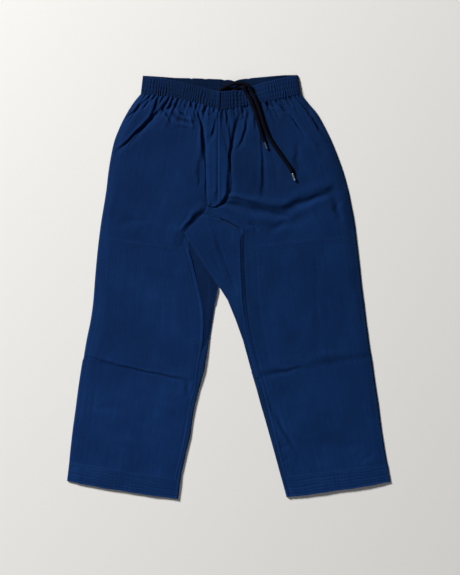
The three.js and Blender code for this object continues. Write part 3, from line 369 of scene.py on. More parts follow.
def row_steps(table, t0, t1, spacing):
    """Section numbers from t0 to t1 that are evenly spaced on the cloth."""
    t = np.linspace(t0, t1, 400)
    s = spline(table, t)
    mid = np.stack([(s[:, XO] + s[:, XI]) / 2, (s[:, YO] + s[:, YI]) / 2], axis=1)
    run = np.concatenate([[0], np.cumsum(np.hypot(*np.diff(mid, axis=0).T))])
    n = max(2, int(round(run[-1] / spacing)) + 1)
    return np.interp(np.linspace(0, run[-1], n), run, t)


def across(n):
    """Column fractions, a little closer together at both edges."""
    u = np.linspace(0, 1, n)
    return u - 0.5 * 0.08 * np.sin(2 * np.pi * u)


# ------------------------------------------------------------------ meshes
OBJECTS = {}


def make(name, P, material, closed=False, uv=None, thickness=0.0, smooth=True, parts=None):
    """An object from one grid of points, or from several in parts."""
    grids = parts if parts is not None else [(P, closed, uv)]
    verts, faces, uvs = [], [], []
    base = 0
    for grid, ring, tex in grids:
        rows, cols = grid.shape[:2]
        if tex is None:
            du = np.linalg.norm(np.diff(grid, axis=1), axis=2).mean(axis=0)
            dv = np.linalg.norm(np.diff(grid, axis=0), axis=2).mean(axis=1)
            tu = np.concatenate([[0], np.cumsum(du)])
            tv = np.concatenate([[0], np.cumsum(dv)])
            tex = np.stack(np.broadcast_arrays(tu[None, :], tv[:, None]), axis=-1)
        idx = base + np.arange(rows * cols).reshape(rows, cols)
        nxt = np.roll(idx, -1, axis=1) if ring else idx[:, 1:]
        cur = idx if ring else idx[:, :-1]
        f = np.stack([cur[:-1], cur[1:], nxt[1:], nxt[:-1]], axis=-1).reshape(-1, 4)
        verts.append(grid.reshape(-1, 3))
        faces.append(f)
        uvs.append(tex.reshape(-1, 2))
        base += rows * cols
    V = np.concatenate(verts)
    F = np.concatenate(faces)
    T = np.concatenate(uvs)
    V = (V - np.array([CENTRE[0], CENTRE[1], 0.0])) * MM
    mesh = bpy.data.meshes.new(name)
    mesh.vertices.add(len(V))
    mesh.vertices.foreach_set("co", V.astype(np.float32).ravel())
    mesh.loops.add(F.size)
    mesh.loops.foreach_set("vertex_index", F.astype(np.int32).ravel())
    mesh.polygons.add(len(F))
    mesh.polygons.foreach_set("loop_start", np.arange(0, F.size, 4, dtype=np.int32))
    mesh.update(calc_edges=True)
    layer = mesh.uv_layers.new(name="UVMap")
    layer.data.foreach_set("uv", (T[F.ravel()] * MM).astype(np.float32).ravel())
    if smooth:
        mesh.polygons.foreach_set("use_smooth", np.ones(len(F), dtype=bool))
    # the cut edge of a shell is square, so its faces are not shaded round it
    of_loop = np.empty(len(mesh.loops), dtype=np.int32)
    mesh.loops.foreach_get("edge_index", of_loop)
    mesh.edges.foreach_set("use_edge_sharp", np.bincount(of_loop, minlength=len(mesh.edges)) == 1)
    for m in (material if isinstance(material, list) else [material]):
        mesh.materials.append(m)
    if isinstance(material, list):
        number = np.concatenate([np.full(len(f), k, dtype=np.int32) for k, f in enumerate(faces)])
        mesh.polygons.foreach_set("material_index", number)
    mesh.validate()
    obj = bpy.data.objects.new(name, mesh)
    bpy.context.scene.collection.objects.link(obj)
    if thickness:
        mod = obj.modifiers.new("thickness", "SOLIDIFY")
        mod.thickness = thickness * MM
        mod.offset = -1.0
        mod.use_even_offset = False
    OBJECTS[name] = obj
    return obj


def outward(P):
    """The same grid with its columns turned round if its faces look down."""
    e1 = P[1:, :-1] - P[:-1, :-1]
    e2 = P[:-1, 1:] - P[:-1, :-1]
    n = np.cross(e1, e2)[..., 2].mean()
    return P if n > 0 else P[:, ::-1]


def tree_of(*objs):
    deps = bpy.context.evaluated_depsgraph_get()
    return [BVHTree.FromObject(o, deps) for o in objs]


def top_at(trees, x, y, default=None):
    """Height in millimetres of the highest face under a point, and its normal."""
    best, normal = default, Vector((0, 0, 1))
    origin = Vector(((x - CENTRE[0]) * MM, (y - CENTRE[1]) * MM, 0.05))
    for tree in trees:
        hit, n, _, _ = tree.ray_cast(origin, Vector((0, 0, -1)))
        if hit is not None and (best is None or hit.z / MM > best):
            best, normal = hit.z / MM, (n if n.z > 0 else -n)
    return best, normal

# ------------------------------------------------------------------ materials
def srgb(r, g, b):
    out = []
    for v in (r, g, b):
        v /= 255.0
        out.append(v / 12.92 if v <= 0.04045 else ((v + 0.055) / 1.055) ** 2.4)
    return (*out, 1.0)


def cloth_material(name, deep, base, light, twill=0.00095, bump=0.10, seed=0.0, turn=0.62):
    """Twill: diagonal ribs, uneven yarns, soft dye variation, crests made paler by wear and by painted highlight, and
    painted light that lightens the colour towards the hems.
    """
    m = bpy.data.materials.new(name)
    m.use_nodes = True
    nt = m.node_tree
    N, L = nt.nodes, nt.links
    N.clear()
    out = N.new("ShaderNodeOutputMaterial")
    bsdf = N.new("ShaderNodeBsdfPrincipled")
    L.new(bsdf.outputs[0], out.inputs[0])
    bsdf.inputs["Roughness"].default_value = 0.88
    bsdf.inputs["Specular IOR Level"].default_value = 0.05
    bsdf.inputs["Sheen Weight"].default_value = 0.035
    bsdf.inputs["Sheen Roughness"].default_value = 0.55
    bsdf.inputs["Sheen Tint"].default_value = (0.45, 0.62, 1.0, 1.0)
    uv = N.new("ShaderNodeUVMap")
    uv.uv_map = "UVMap"
    tex = N.new("ShaderNodeTexCoord")
    # dye variation over the hand's width
    cloud = N.new("ShaderNodeTexNoise")
    cloud.inputs["Scale"].default_value = 9.0
    cloud.inputs["Detail"].default_value = 4.0
    cloud.inputs["Roughness"].default_value = 0.55
    shift = N.new("ShaderNodeMapping")
    shift.inputs["Location"].default_value = (seed, seed * 0.7, 0.0)
    L.new(tex.outputs["Object"], shift.inputs["Vector"])
    L.new(shift.outputs[0], cloud.inputs["Vector"])
    # yarns that run the length of the leg
    yarn_map = N.new("ShaderNodeMapping")
    yarn_map.inputs["Scale"].default_value = (420.0, 9.0, 1.0)
    L.new(uv.outputs[0], yarn_map.inputs["Vector"])
    yarn = N.new("ShaderNodeTexNoise")
    yarn.inputs["Scale"].default_value = 1.0
    yarn.inputs["Detail"].default_value = 3.0
    L.new(yarn_map.outputs[0], yarn.inputs["Vector"])
    # lint and fuzz
    fuzz = N.new("ShaderNodeTexNoise")
    fuzz.inputs["Scale"].default_value = 900.0
    fuzz.inputs["Detail"].default_value = 3.0
    L.new(tex.outputs["Object"], fuzz.inputs["Vector"])
    ramp = N.new("ShaderNodeValToRGB")
    ramp.color_ramp.elements[0].position = 0.33
    ramp.color_ramp.elements[0].color = srgb(*deep)
    ramp.color_ramp.elements[1].position = 0.67
    ramp.color_ramp.elements[1].color = srgb(*light)
    mid = ramp.color_ramp.elements.new(0.5)
    mid.color = srgb(*base)
    blend = N.new("ShaderNodeMix")
    blend.data_type = "FLOAT"
    blend.inputs["Factor"].default_value = 0.42
    L.new(cloud.outputs["Fac"], blend.inputs[2])
    L.new(yarn.outputs["Fac"], blend.inputs[3])
    L.new(blend.outputs[0], ramp.inputs[0])
    # diagonal ribs of the twill
    weave_map = N.new("ShaderNodeMapping")
    weave_map.inputs["Rotation"].default_value = (0.0, 0.0, turn)
    weave_map.inputs["Scale"].default_value = (1.0 / twill, 1.0 / twill, 1.0)
    L.new(uv.outputs[0], weave_map.inputs["Vector"])
    rib = N.new("ShaderNodeTexWave")
    rib.wave_type = "BANDS"
    rib.bands_direction = "X"
    rib.inputs["Scale"].default_value = 0.3142
    rib.inputs["Distortion"].default_value = 0.6
    rib.inputs["Detail"].default_value = 1.0
    rib.inputs["Detail Scale"].default_value = 1.4
    L.new(weave_map.outputs[0], rib.inputs["Vector"])
    cross = N.new("ShaderNodeTexWave")
    cross.wave_type = "BANDS"
    cross.bands_direction = "Y"
    cross.inputs["Scale"].default_value = 0.55
    cross.inputs["Distortion"].default_value = 0.3
    L.new(weave_map.outputs[0], cross.inputs["Vector"])
    weave = N.new("ShaderNodeMath")
    weave.operation = "MULTIPLY_ADD"
    weave.inputs[1].default_value = 0.35
    L.new(cross.outputs["Fac"], weave.inputs[0])
    L.new(rib.outputs["Fac"], weave.inputs[2])
    darker = N.new("ShaderNodeMix")
    darker.data_type = "RGBA"
    darker.blend_type = "MULTIPLY"
    darker.inputs[0].default_value = 1.0
    shade = N.new("ShaderNodeMapRange")
    shade.inputs["From Min"].default_value = 0.0
    shade.inputs["From Max"].default_value = 1.35
    shade.inputs["To Min"].default_value = 0.78
    shade.inputs["To Max"].default_value = 1.14
    L.new(weave.outputs[0], shade.inputs["Value"])
    # painted light: the colour is lighter towards the hems and darker towards the waist, standing in for the fall of
    # light across the cloth
    split = N.new("ShaderNodeSeparateXYZ")
    L.new(tex.outputs["Object"], split.inputs[0])
    fade = N.new("ShaderNodeMapRange")
    fade.inputs["From Min"].default_value = -0.40
    fade.inputs["From Max"].default_value = 0.40
    fade.inputs["To Min"].default_value = 1.11
    fade.inputs["To Max"].default_value = 0.80
    L.new(split.outputs["Y"], fade.inputs["Value"])
    both = N.new("ShaderNodeMath")
    both.operation = "MULTIPLY"
    L.new(shade.outputs[0], both.inputs[0])
    L.new(fade.outputs[0], both.inputs[1])
    L.new(ramp.outputs[0], darker.inputs[6])
    L.new(both.outputs[0], darker.inputs[7])
    # crests and stitched edges are lightened: worn a little paler at the edges, and a painted highlight on the crests
    # of folds
    geo = N.new("ShaderNodeNewGeometry")
    wear_and_painted_highlight = N.new("ShaderNodeMapRange")
    wear_and_painted_highlight.inputs["From Min"].default_value = 0.5
    wear_and_painted_highlight.inputs["From Max"].default_value = 0.62
    wear_and_painted_highlight.inputs["To Min"].default_value = 0.0
    wear_and_painted_highlight.inputs["To Max"].default_value = 0.16
    L.new(geo.outputs["Pointiness"], wear_and_painted_highlight.inputs["Value"])
    pale = N.new("ShaderNodeMix")
    pale.data_type = "RGBA"
    pale.inputs[7].default_value = srgb(min(255, light[0] + 20), min(255, light[1] + 26), min(255, light[2] + 34))
    L.new(wear_and_painted_highlight.outputs[0], pale.inputs[0])
    L.new(darker.outputs[2], pale.inputs[6])
    L.new(pale.outputs[2], bsdf.inputs["Base Color"])
    height = N.new("ShaderNodeMath")
    height.operation = "MULTIPLY_ADD"
    height.inputs[1].default_value = 0.5
    L.new(fuzz.outputs["Fac"], height.inputs[0])
    L.new(weave.outputs[0], height.inputs[2])
    b = N.new("ShaderNodeBump")
    b.inputs["Strength"].default_value = 0.45
    b.inputs["Distance"].default_value = bump * MM
    L.new(height.outputs[0], b.inputs["Height"])
    wide = N.new("ShaderNodeBump")
    wide.inputs["Strength"].default_value = 0.35
    wide.inputs["Distance"].default_value = 0.25 * MM
    L.new(yarn.outputs["Fac"], wide.inputs["Height"])
    L.new(b.outputs[0], wide.inputs["Normal"])
    L.new(wide.outputs[0], bsdf.inputs["Normal"])
    return m


def thread_material(name, base, light):
    m = bpy.data.materials.new(name)
    m.use_nodes = True
    nt = m.node_tree
    N, L = nt.nodes, nt.links
    bsdf = N["Principled BSDF"]
    bsdf.inputs["Roughness"].default_value = 0.85
    bsdf.inputs["Specular IOR Level"].default_value = 0.06
    bsdf.inputs["Sheen Weight"].default_value = 0.03
    tex = N.new("ShaderNodeTexCoord")
    noise = N.new("ShaderNodeTexNoise")
    noise.inputs["Scale"].default_value = 260.0
    L.new(tex.outputs["Object"], noise.inputs["Vector"])
    ramp = N.new("ShaderNodeValToRGB")
    ramp.color_ramp.elements[0].color = srgb(*base)
    ramp.color_ramp.elements[1].color = srgb(*light)
    L.new(noise.outputs["Fac"], ramp.inputs[0])
    L.new(ramp.outputs[0], bsdf.inputs["Base Color"])
    ply = N.new("ShaderNodeTexWave")
    ply.inputs["Scale"].default_value = 700.0
    L.new(tex.outputs["Object"], ply.inputs["Vector"])
    b = N.new("ShaderNodeBump")
    b.inputs["Strength"].default_value = 0.4
    b.inputs["Distance"].default_value = 0.05 * MM
    L.new(ply.outputs["Fac"], b.inputs["Height"])
    L.new(b.outputs[0], bsdf.inputs["Normal"])
    return m


CLOTH_RIGHT = cloth_material("twill_right", (6, 32, 71), (9, 38, 82), (12, 44, 91), seed=0.3)
CLOTH_LEFT = cloth_material("twill_left", (5, 31, 69), (8, 37, 79), (11, 42, 88), seed=2.1, turn=-0.62)
CLOTH_BACK = cloth_material("twill_back", (5, 30, 66), (8, 35, 74), (10, 41, 84), seed=4.4)
CLOTH_GUSSET = cloth_material("twill_gusset", (6, 32, 71), (8, 38, 81), (11, 44, 90), seed=6.0, turn=1.2)
# a darker copy of the gusset twill: painted shade on the gusset's lower layer, under its folded edge
CLOTH_GUSSET_PAINTED_SHADE = cloth_material("twill_gusset_painted_shade", (5, 27, 58), (7, 31, 68), (10, 36, 78), seed=6.6, turn=1.2)
CLOTH_BAND = cloth_material("twill_band", (4, 26, 58), (6, 31, 69), (9, 40, 82), seed=7.7)
CLOTH_INSIDE = cloth_material("twill_inside", (4, 20, 46), (4, 25, 56), (7, 32, 69), seed=9.2)
CLOTH_PATCH_R = cloth_material("twill_patch_right", (6, 32, 71), (9, 38, 82), (12, 45, 92), seed=1.2)
CLOTH_PATCH_L = cloth_material("twill_patch_left", (5, 31, 69), (8, 37, 79), (11, 42, 88), seed=3.3, turn=-0.62)
CLOTH_HEM = cloth_material("twill_hem", (6, 32, 71), (9, 38, 81), (13, 46, 92), seed=5.1)
THREAD = thread_material("thread", (9, 35, 76), (15, 44, 88))
# dark thread: the waistband's stitching, and painted shadow along the gusset seam
THREAD_DARK_AND_PAINTED_SHADOW = thread_material("thread_dark_and_painted_shadow", (5, 24, 56), (9, 31, 68))


# ------------------------------------------------------------------ cloth pieces
def front(side, table, material, t_end=HEM_TOP):
    T = row_steps(table, 0, t_end, GRID)
    U = across(112)
    P, _ = section(table, side, T, U)
    P = outward(P)
    return make("front_leg_" + side + "_cloth", P, material, thickness=THICK)


front_right = front("right", RIGHT, CLOTH_RIGHT)
front_left = front("left", LEFT, CLOTH_LEFT)


def inner_end(rows, line):
    slope = (rows[:, YI] - rows[:, YO]) / (rows[:, XI] - rows[:, XO])
    x = rows[:, XI].copy()
    for _ in range(12):
        x = x + 0.7 * (along_y(line, rows[:, YI] + (x - rows[:, XI]) * slope) - x)
    return x, rows[:, YI] + (x - rows[:, XI]) * slope


def back(side, table, line, turn_from, material):
    """Flat panel, and below the gusset the turn-up round the leg's inner edge."""
    T = row_steps(table, 0, HEM_TOP, 5.0)
    rows = spline(table, T)
    ex, ey = inner_end(rows, line)
    ax, ay = rows[:, XO].copy(), rows[:, YO].copy()
    early = np.clip(T / 3.0, 0, 1)
    foot_e, foot_a = along_x(BACK_BAND_FOOT, ex) - 0.4, along_x(BACK_BAND_FOOT, ax) - 0.4
    ey = foot_e + (ey - foot_e) * early
    ay = np.where(T == 0, foot_a, ay)
    n = 56
    U = across(n)[None, :]
    length = np.hypot(ex - ax, ey - ay)
    trim = np.where(T >= turn_from, 3.0, 0.6)
    stop = ((length - trim) / length)[:, None]
    x = ax[:, None] + (ex - ax)[:, None] * U * stop
    y = ay[:, None] + (ey - ay)[:, None] * U * stop
    y[0] = along_x(BACK_BAND_FOOT, x[0]) - 0.4
    z = np.full_like(x, 0.12)
    z += 0.10 * (1 + np.sin(x / 37.0) * np.sin(y / 53.0)) * np.minimum(1, U * length[:, None] / 12)
    # stitched seams pressed into the underside, seen from below
    z += 0.25 * np.exp(-((U * length[:, None] - 9.0) / 1.3) ** 2)
    z += 0.25 * np.exp(-(((1 - U) * length[:, None] - 8.0) / 1.3) ** 2)
    flat = np.stack([x, y, z + THICK], axis=-1)
    early_turn = turn_from - 0.9
    W = row_steps(table, early_turn, HEM_TOP, GRID)
    r = spline(table, W)
    grow = ease((W - early_turn) / 1.5)
    wx, wy = inner_end(r, line)
    L = np.hypot(wx - r[:, XO], wy - r[:, YO])
    dx, dy = (wx - r[:, XO]) / L, (wy - r[:, YO]) / L
    seam = np.hypot(r[:, XI] - r[:, XO], r[:, YI] - r[:, YO])
    h = r[:, ZI] - 0.15 + 0.35 * np.sin(wy / 23.0) * 0.4
    h = 2.0 + (h - 2.0) * grow
    rad = h / 2
    cols = []
    for s in (14.0, 11.0, 8.0, 5.5):
        cols.append((L - np.maximum(s, rad), np.full_like(L, 0.05)))
    for k in range(0, 11):
        q = math.pi * (k / 10 - 0.5)
        cols.append((L - rad + rad * math.cos(q), rad + rad * math.sin(q)))
    lap = np.minimum(seam - 0.4, L - rad - 0.6)
    lap = np.where(W < turn_from, np.maximum(lap, L - rad - 0.6 - 6.0 * grow), lap)
    for f in (0.3, 0.6, 0.85, 1.0):
        s = (L - rad) + (lap - (L - rad)) * f
        rise = 0.12 * math.sin(math.pi * f) - 0.8 * max(0.0, f - 0.85) / 0.15 * ease((W - turn_from - 0.5) / 0.8)
        cols.append((s, h + rise + 0.16 * np.sin(wy / 4.1) * math.sin(math.pi * f)))
    S = np.stack([c[0] for c in cols], axis=1)
    Z = np.stack([c[1] for c in cols], axis=1)
    turn = np.stack([r[:, XO][:, None] + dx[:, None] * S, r[:, YO][:, None] + dy[:, None] * S, np.maximum(Z, 0.05)], axis=-1)
    flat = outward(flat)
    # the turn-up's faces look out of the leg
    if side == "right":
        turn = turn[:, ::-1]
    return make("back_leg_" + side + "_cloth", None, material, thickness=THICK,
                parts=[(flat, False, None), (turn, False, None)])


back_right = back("right", RIGHT, INNER_RIGHT, 16.06, CLOTH_BACK)
back_left = back("left", LEFT, INNER_LEFT, 18.06, CLOTH_BACK)

# ------------------------------------------------------------------ gusset
GUSSET_TOP = np.array([
    [7.03, -46.3, 180.6, 4.9, 3], [7.2, -49.2, 176.4, 4.9, 5], [7.5, -54.0, 167.4, 4.9, 7], [8, -64.7, 155.0, 4.9, 14], [8.5, -73.9, 146.8, 4.9, 24],
    [9, -82.7, 138.2, 4.9, 34], [10, -98.4, 121.3, 4.9, 60], [11, -78.2, 88.7, 4.9, 53],
    [12, -55.7, 52.7, 4.9, 33], [13, -29.8, 13.3, 4.6, 9], [14, -2.8, -28.4, 2.4, 7],
    [15, 16.3, -73.4, 1.7, 6], [16, 32.7, -118.4, 1.7, 6], [17, 49.6, -181.4, 1.7, 6],
    [18, 57.4, -204.0, 1.7, 6]])
GUSSET_FOOT = np.array([
    [8, -52.3, 146.0, 1], [9, -34.3, 115.7, 1], [10, -25.3, 93.2, 1], [11, -23.1, 63.9, 1],
    [12, -21.9, 33.5, 1], [13, -22.4, 1.0, 0.6], [14, -30.9, -39.6, 0], [15, -37.7, -81.2, 0],
    [16, -44.4, -124.0, 0]])
LOW_LAYER = 3.3


def column(table, t, k):
    return np.interp(t, table[:, 0], table[:, k])


def gusset():
    right_tree = tree_of(front_right)
    n_rows = 190
    # even steps along the free edge
    fine = np.linspace(7.03, 18.0, 700)
    run = np.concatenate([[0], np.cumsum(np.hypot(np.diff(column(GUSSET_TOP, fine, 1)), np.diff(column(GUSSET_TOP, fine, 2))))])
    T = np.interp(np.linspace(0, run[-1], n_rows), run, fine)
    rows = spline(LEFT, T)
    xe, ye = column(GUSSET_TOP, T, 1), column(GUSSET_TOP, T, 2)
    least, reach = column(GUSSET_TOP, T, 3), column(GUSSET_TOP, T, 4)
    # the free edge is a soft line, not a ruled one
    along = np.linspace(0, 1, n_rows)
    sway = 0.8 * np.sin(9.0 * along) * np.sin(np.pi * along)
    length = np.hypot(rows[:, XI] - xe, rows[:, YI] - ye)
    dx, dy = (xe - rows[:, XI]) / length, (ye - rows[:, YI]) / length
    length = length + sway
    under = least.copy()
    for i in range(n_rows):
        for k in range(5):
            s = length[i] - min(reach[i], length[i] * 0.9) * k / 4
            z, _ = top_at(right_tree, rows[i, XI] + dx[i] * s, rows[i, YI] + dy[i] * s)
            if z is not None:
                under[i] = max(under[i], z + 0.25)
    kernel = np.ones(9) / 9
    under = np.convolve(np.pad(under, 4, mode="edge"), kernel, mode="valid")
    free = np.maximum(under + 2.2, np.minimum(rows[:, ZI], under + 4.6))
    rad = (free - under) / 2
    cols_s, cols_z = [], []
    top_cols = 58
    for k in range(top_cols):
        u = k / (top_cols - 1)
        s = -0.3 + (length - rad + 0.3) * u
        f = s / np.maximum(length - rad, 1)
        z = rows[:, ZI] + (free - rows[:, ZI]) * ease(f)
        px, py = rows[:, XI] + dx * s, rows[:, YI] + dy * s
        inner = np.minimum(1, s / 8) * np.clip((1 - f) * 2.5, 0, 1)
        z = z + inner * (0.5 * fold_height(px, py) + 1.2 * lie(px, py))
        # seam line on the right, one faint fold down the middle
        corner = ease((T - 7.9) / 0.4) * ease((10.3 - T) / 0.6)
        cross = py - (161.3 - (px + 45.6) * 0.258)
        z = z - 3.0 * np.exp(-(cross / 2.2) ** 2) * ease((-19.5 - px) / 4.0) * ease((9.0 - T) / 0.4)
        z = z + 0.5 * np.exp(-((cross + 6.0) / 4.0) ** 2) * ease((-15 - px) / 8.0) * ease((9.2 - T) / 0.4)
        z = z + (1 - corner) * (0.4 * ease(1.5 - s / 4.5) - 0.2 * np.exp(-((s - 6.5) / 1.3) ** 2))
        z = z - corner * (4.6 * np.exp(-(s / 2.5) ** 2) - 0.8 * np.exp(-((s - 8.0) / 5.0) ** 2))
        z = z + 1.7 * np.exp(-((s - 3.5) / np.where(s > 3.5, 13.0, 2.6)) ** 2) * ease((T - 10.0) / 0.8) * ease((16.5 - T) / 3.0)
        # cross ridges of the stitched tongue under the fly
        z = z + 0.40 * np.sin(py * 2 * np.pi / 4.6) * ease((cross - 1.5) / 1.5) * ease((8.6 - T) / 0.4)
        z = z + pucker(-py, s - 3.0, 9.0, 6.0, 0.25, 5.3)
        below = ease((T - 9.3) / 1.2) * ease((14.5 - T) / 3.0)
        z = z - 0.8 * below * np.exp(-((f - (0.40 + 0.05 * np.sin(py / 60.0))) * length / 3.4) ** 2) * np.clip(length / 60.0, 0, 1)
        z = z + 0.5 * below * np.exp(-((f - 0.55) * length / 6.0) ** 2) * np.clip(length / 70.0, 0, 1)
        z = np.maximum(z, np.where((s < 0.3 * length) & (T > 8.4), 3.4, under + 2.0))
        z = z + (free - z) * ease((u - 0.9) / 0.1)
        cols_s.append(s)
        cols_z.append(z)
    for k in range(1, 10):
        q = math.pi * (0.5 - k / 9)
        cols_s.append(length - rad + rad * math.cos(q))
        cols_z.append(under + rad + rad * math.sin(q))
    back_to = np.minimum(length - 1.2, np.maximum(reach, rad + 1.2))
    for f in (0.25, 0.5, 0.75, 1.0):
        cols_s.append((length - rad) + (length - back_to - (length - rad)) * f)
        cols_z.append(under.copy())
    S, Z = np.stack(cols_s, axis=1), np.stack(cols_z, axis=1)
    top = np.stack([rows[:, XI][:, None] + dx[:, None] * S, rows[:, YI][:, None] + dy[:, None] * S, Z], axis=-1)
    # lower layer, on to the right leg's front
    Tf = np.linspace(8, 16.2, 130)
    r = spline(RIGHT, Tf)
    xh, yh, up = column(GUSSET_FOOT, Tf, 1), column(GUSSET_FOOT, Tf, 2), column(GUSSET_FOOT, Tf, 3)
    under_y = np.interp(-yh, -ye, under)
    rise = np.where(up > 0, LOW_LAYER + (np.minimum(6.6, under_y + 0.5) - LOW_LAYER) * up, 1.6)
    L = np.hypot(xh - r[:, XI], yh - r[:, YI])
    cols = []
    for k in range(26):
        f = k / 25
        s = -0.3 + (L + 0.3) * f
        d = L - s
        low = np.where(up > 0.3, 2.6, 2.4)
        start = np.minimum(r[:, ZI], 4.6) - 1.9 * ease((Tf - 8.3) / 0.6) * ease((13.5 - Tf) / 2.5)
        z = start + (low - start) * f
        z = z + (rise - z) * ease(1 - d / 3.2)
        z = z + 1.1 * np.exp(-((f - 0.62) * L / 5.0) ** 2) * np.clip(L / 30.0, 0, 1) * 0.4
        px = r[:, XI] + (xh - r[:, XI]) * s / L
        py = r[:, YI] + (yh - r[:, YI]) * s / L
        open_to = np.interp(-py, -ye, xe) - px
        z = z - 2.4 * np.exp(-(np.maximum(open_to, 0) / 5.5) ** 2) * ease((Tf - 8.2) / 0.5) * ease((14.5 - Tf) / 2.0)
        z = z + 0.35 * ease(1.5 - s / 4.5) + pucker(-py, s - 3.0, 9.0, 5.0, 0.2, 8.8) * np.clip(d / 4, 0, 1)
        z = np.maximum(z, 2.2)
        cols.append((px, py, z))
    foot = np.stack([np.stack([c[0] for c in cols], 1), np.stack([c[1] for c in cols], 1), np.stack([c[2] for c in cols], 1)], axis=-1)
    top = top if np.cross(top[1:, :-1] - top[:-1, :-1], top[:-1, 1:] - top[:-1, :-1])[:, :40, 2].mean() > 0 else top[:, ::-1]
    # the lower layer takes the darker copy of the twill, painted shade under the fold
    return make("gusset_cloth", None, [CLOTH_GUSSET, CLOTH_GUSSET_PAINTED_SHADE], thickness=THICK,
                parts=[(top, False, None), (outward(foot), False, None)])


gusset_cloth = gusset()


# ------------------------------------------------------------------ waistband
RIB = 6.1


def band_profile(v):
    """Channels of the elastic between rows of stitching: 0 at a row, 1 between."""
    rows = np.array([0.0, 0.15, 0.40, 0.64, 0.87, 1.0])
    d = np.min(np.abs(v[..., None] - rows), axis=-1)
    return ease(d / 0.07)


def rib_wave(s, v, seed):
    """Uneven ribs of cloth gathered over elastic: soft crowns and narrow valleys."""
    v = np.asarray(v, float)
    wander = 2.2 * np.sin(s / 27.0 + seed) + 1.5 * np.sin(s / 11.3 + 2 * seed) + 0.8 * np.sin(s / 5.9 + 4 * seed)
    drift = 1.3 * np.sin(v * 3.3 + s / 19.0 + seed) + 0.8 * np.sin(v * 7.9 + s / 8.0)
    crown = np.abs(np.cos(np.pi * (s + wander + drift) / RIB)) ** 0.7
    fine = np.abs(np.cos(np.pi * (s - wander + 2 * drift) / (0.62 * RIB) + seed)) ** 0.8
    size = 0.55 + 0.30 * np.sin(s / 14.0 + seed * 3 + 2.0 * v) + 0.25 * np.sin(s / 6.1 - 5.0 * v + seed)
    return np.clip(size, 0.12, 1.1) * (1.5 * (crown - 0.62) + 0.6 * (fine - 0.6))


def waistband_front():
    half = 300
    u = np.linspace(0, 1, half)
    pr, _ = section(RIGHT, "right", [0.0], u)
    pl, _ = section(LEFT, "left", [0.0], u)
    foot = np.concatenate([pr[0], pl[0][::-1][1:]])
    base = np.concatenate([spline_z(RIGHT, u), spline_z(LEFT, u)[::-1][1:]])
    n = len(foot)
    f = np.linspace(0, 1, n)
    cx = -191.8 + (154.2 + 191.8) * f
    s = f * 350.0
    rows = []
    vs = np.concatenate([np.linspace(0, 1, 40), [1.02, 1.04, 1.05]])
    for v in vs:
        vv = min(v, 1.0)
        px = foot[:, 0] + (cx - foot[:, 0]) * vv
        py = foot[:, 1] - 0.5 + (along_x(FRONT_BAND_TOP, cx) - foot[:, 1] + 0.5) * vv
        centre = np.exp(-((cx + 13) / 75) ** 2)
        lip = np.exp(-((cx + 5) / 28) ** 4)
        top = 5.6 + 2.0 * centre + 4.6 * lip * math.sqrt(max(vv, 0))
        z = (base + 0.8) * (1 - vv) + top * vv
        swell = band_profile(np.full(n, vv))
        ribs = rib_wave(s, vv, 1.3)
        seam = np.exp(-((cx + 22.4) / 4.6) ** 4)        # seam at the centre front, with no gathers on it
        z = z - 0.2 + 0.30 * swell + ribs * (0.85 + 0.35 * swell) * (1.4 - 0.6 * vv) * (1 - 0.9 * seam) + seam * (0.9 + 0.26 * (cx + 22.4))
        z = z - 0.6 * np.exp(-((cx + 17.2) / 1.2) ** 2) - 0.4 * np.exp(-((cx + 27.8) / 1.2) ** 2)
        z = z + 0.8 * np.sin(np.pi * vv) ** 0.5 - 0.4
        scallop = 0.55 * np.maximum(0, rib_wave(s, 1.0, 1.3)) - 0.3
        if v > 1.0:                                   # the top edge turns over to the inside
            k = (v - 1.0) / 0.05
            py = py + 0.9 * math.sin(k * math.pi / 2) * 0.5
            z = z - 1.7 * k
        py = py + scallop * ease((vv - 0.75) / 0.25)
        # the side edges turn under
        side = np.minimum(1, np.minimum(f, 1 - f) * 350 / 3.0)
        z = z - 1.6 * (1 - side) ** 2
        rows.append(np.stack([px, py, z], axis=-1))
    P = np.stack(rows)
    return make("waistband_front_cloth", outward(P), CLOTH_BAND, thickness=1.0)


def spline_z(table, u):
    """Even height of the waist section, with no gathers on it."""
    r = table[0]
    w = math.hypot(r[XI] - r[XO], r[YI] - r[YO])
    z = r[ZO] + (r[ZM] - r[ZO]) * np.sin(0.5 * np.pi * np.minimum(1, u * w / 24.0))
    return z + (r[ZI] - r[ZM]) * ease((u - 0.55) / 0.45)


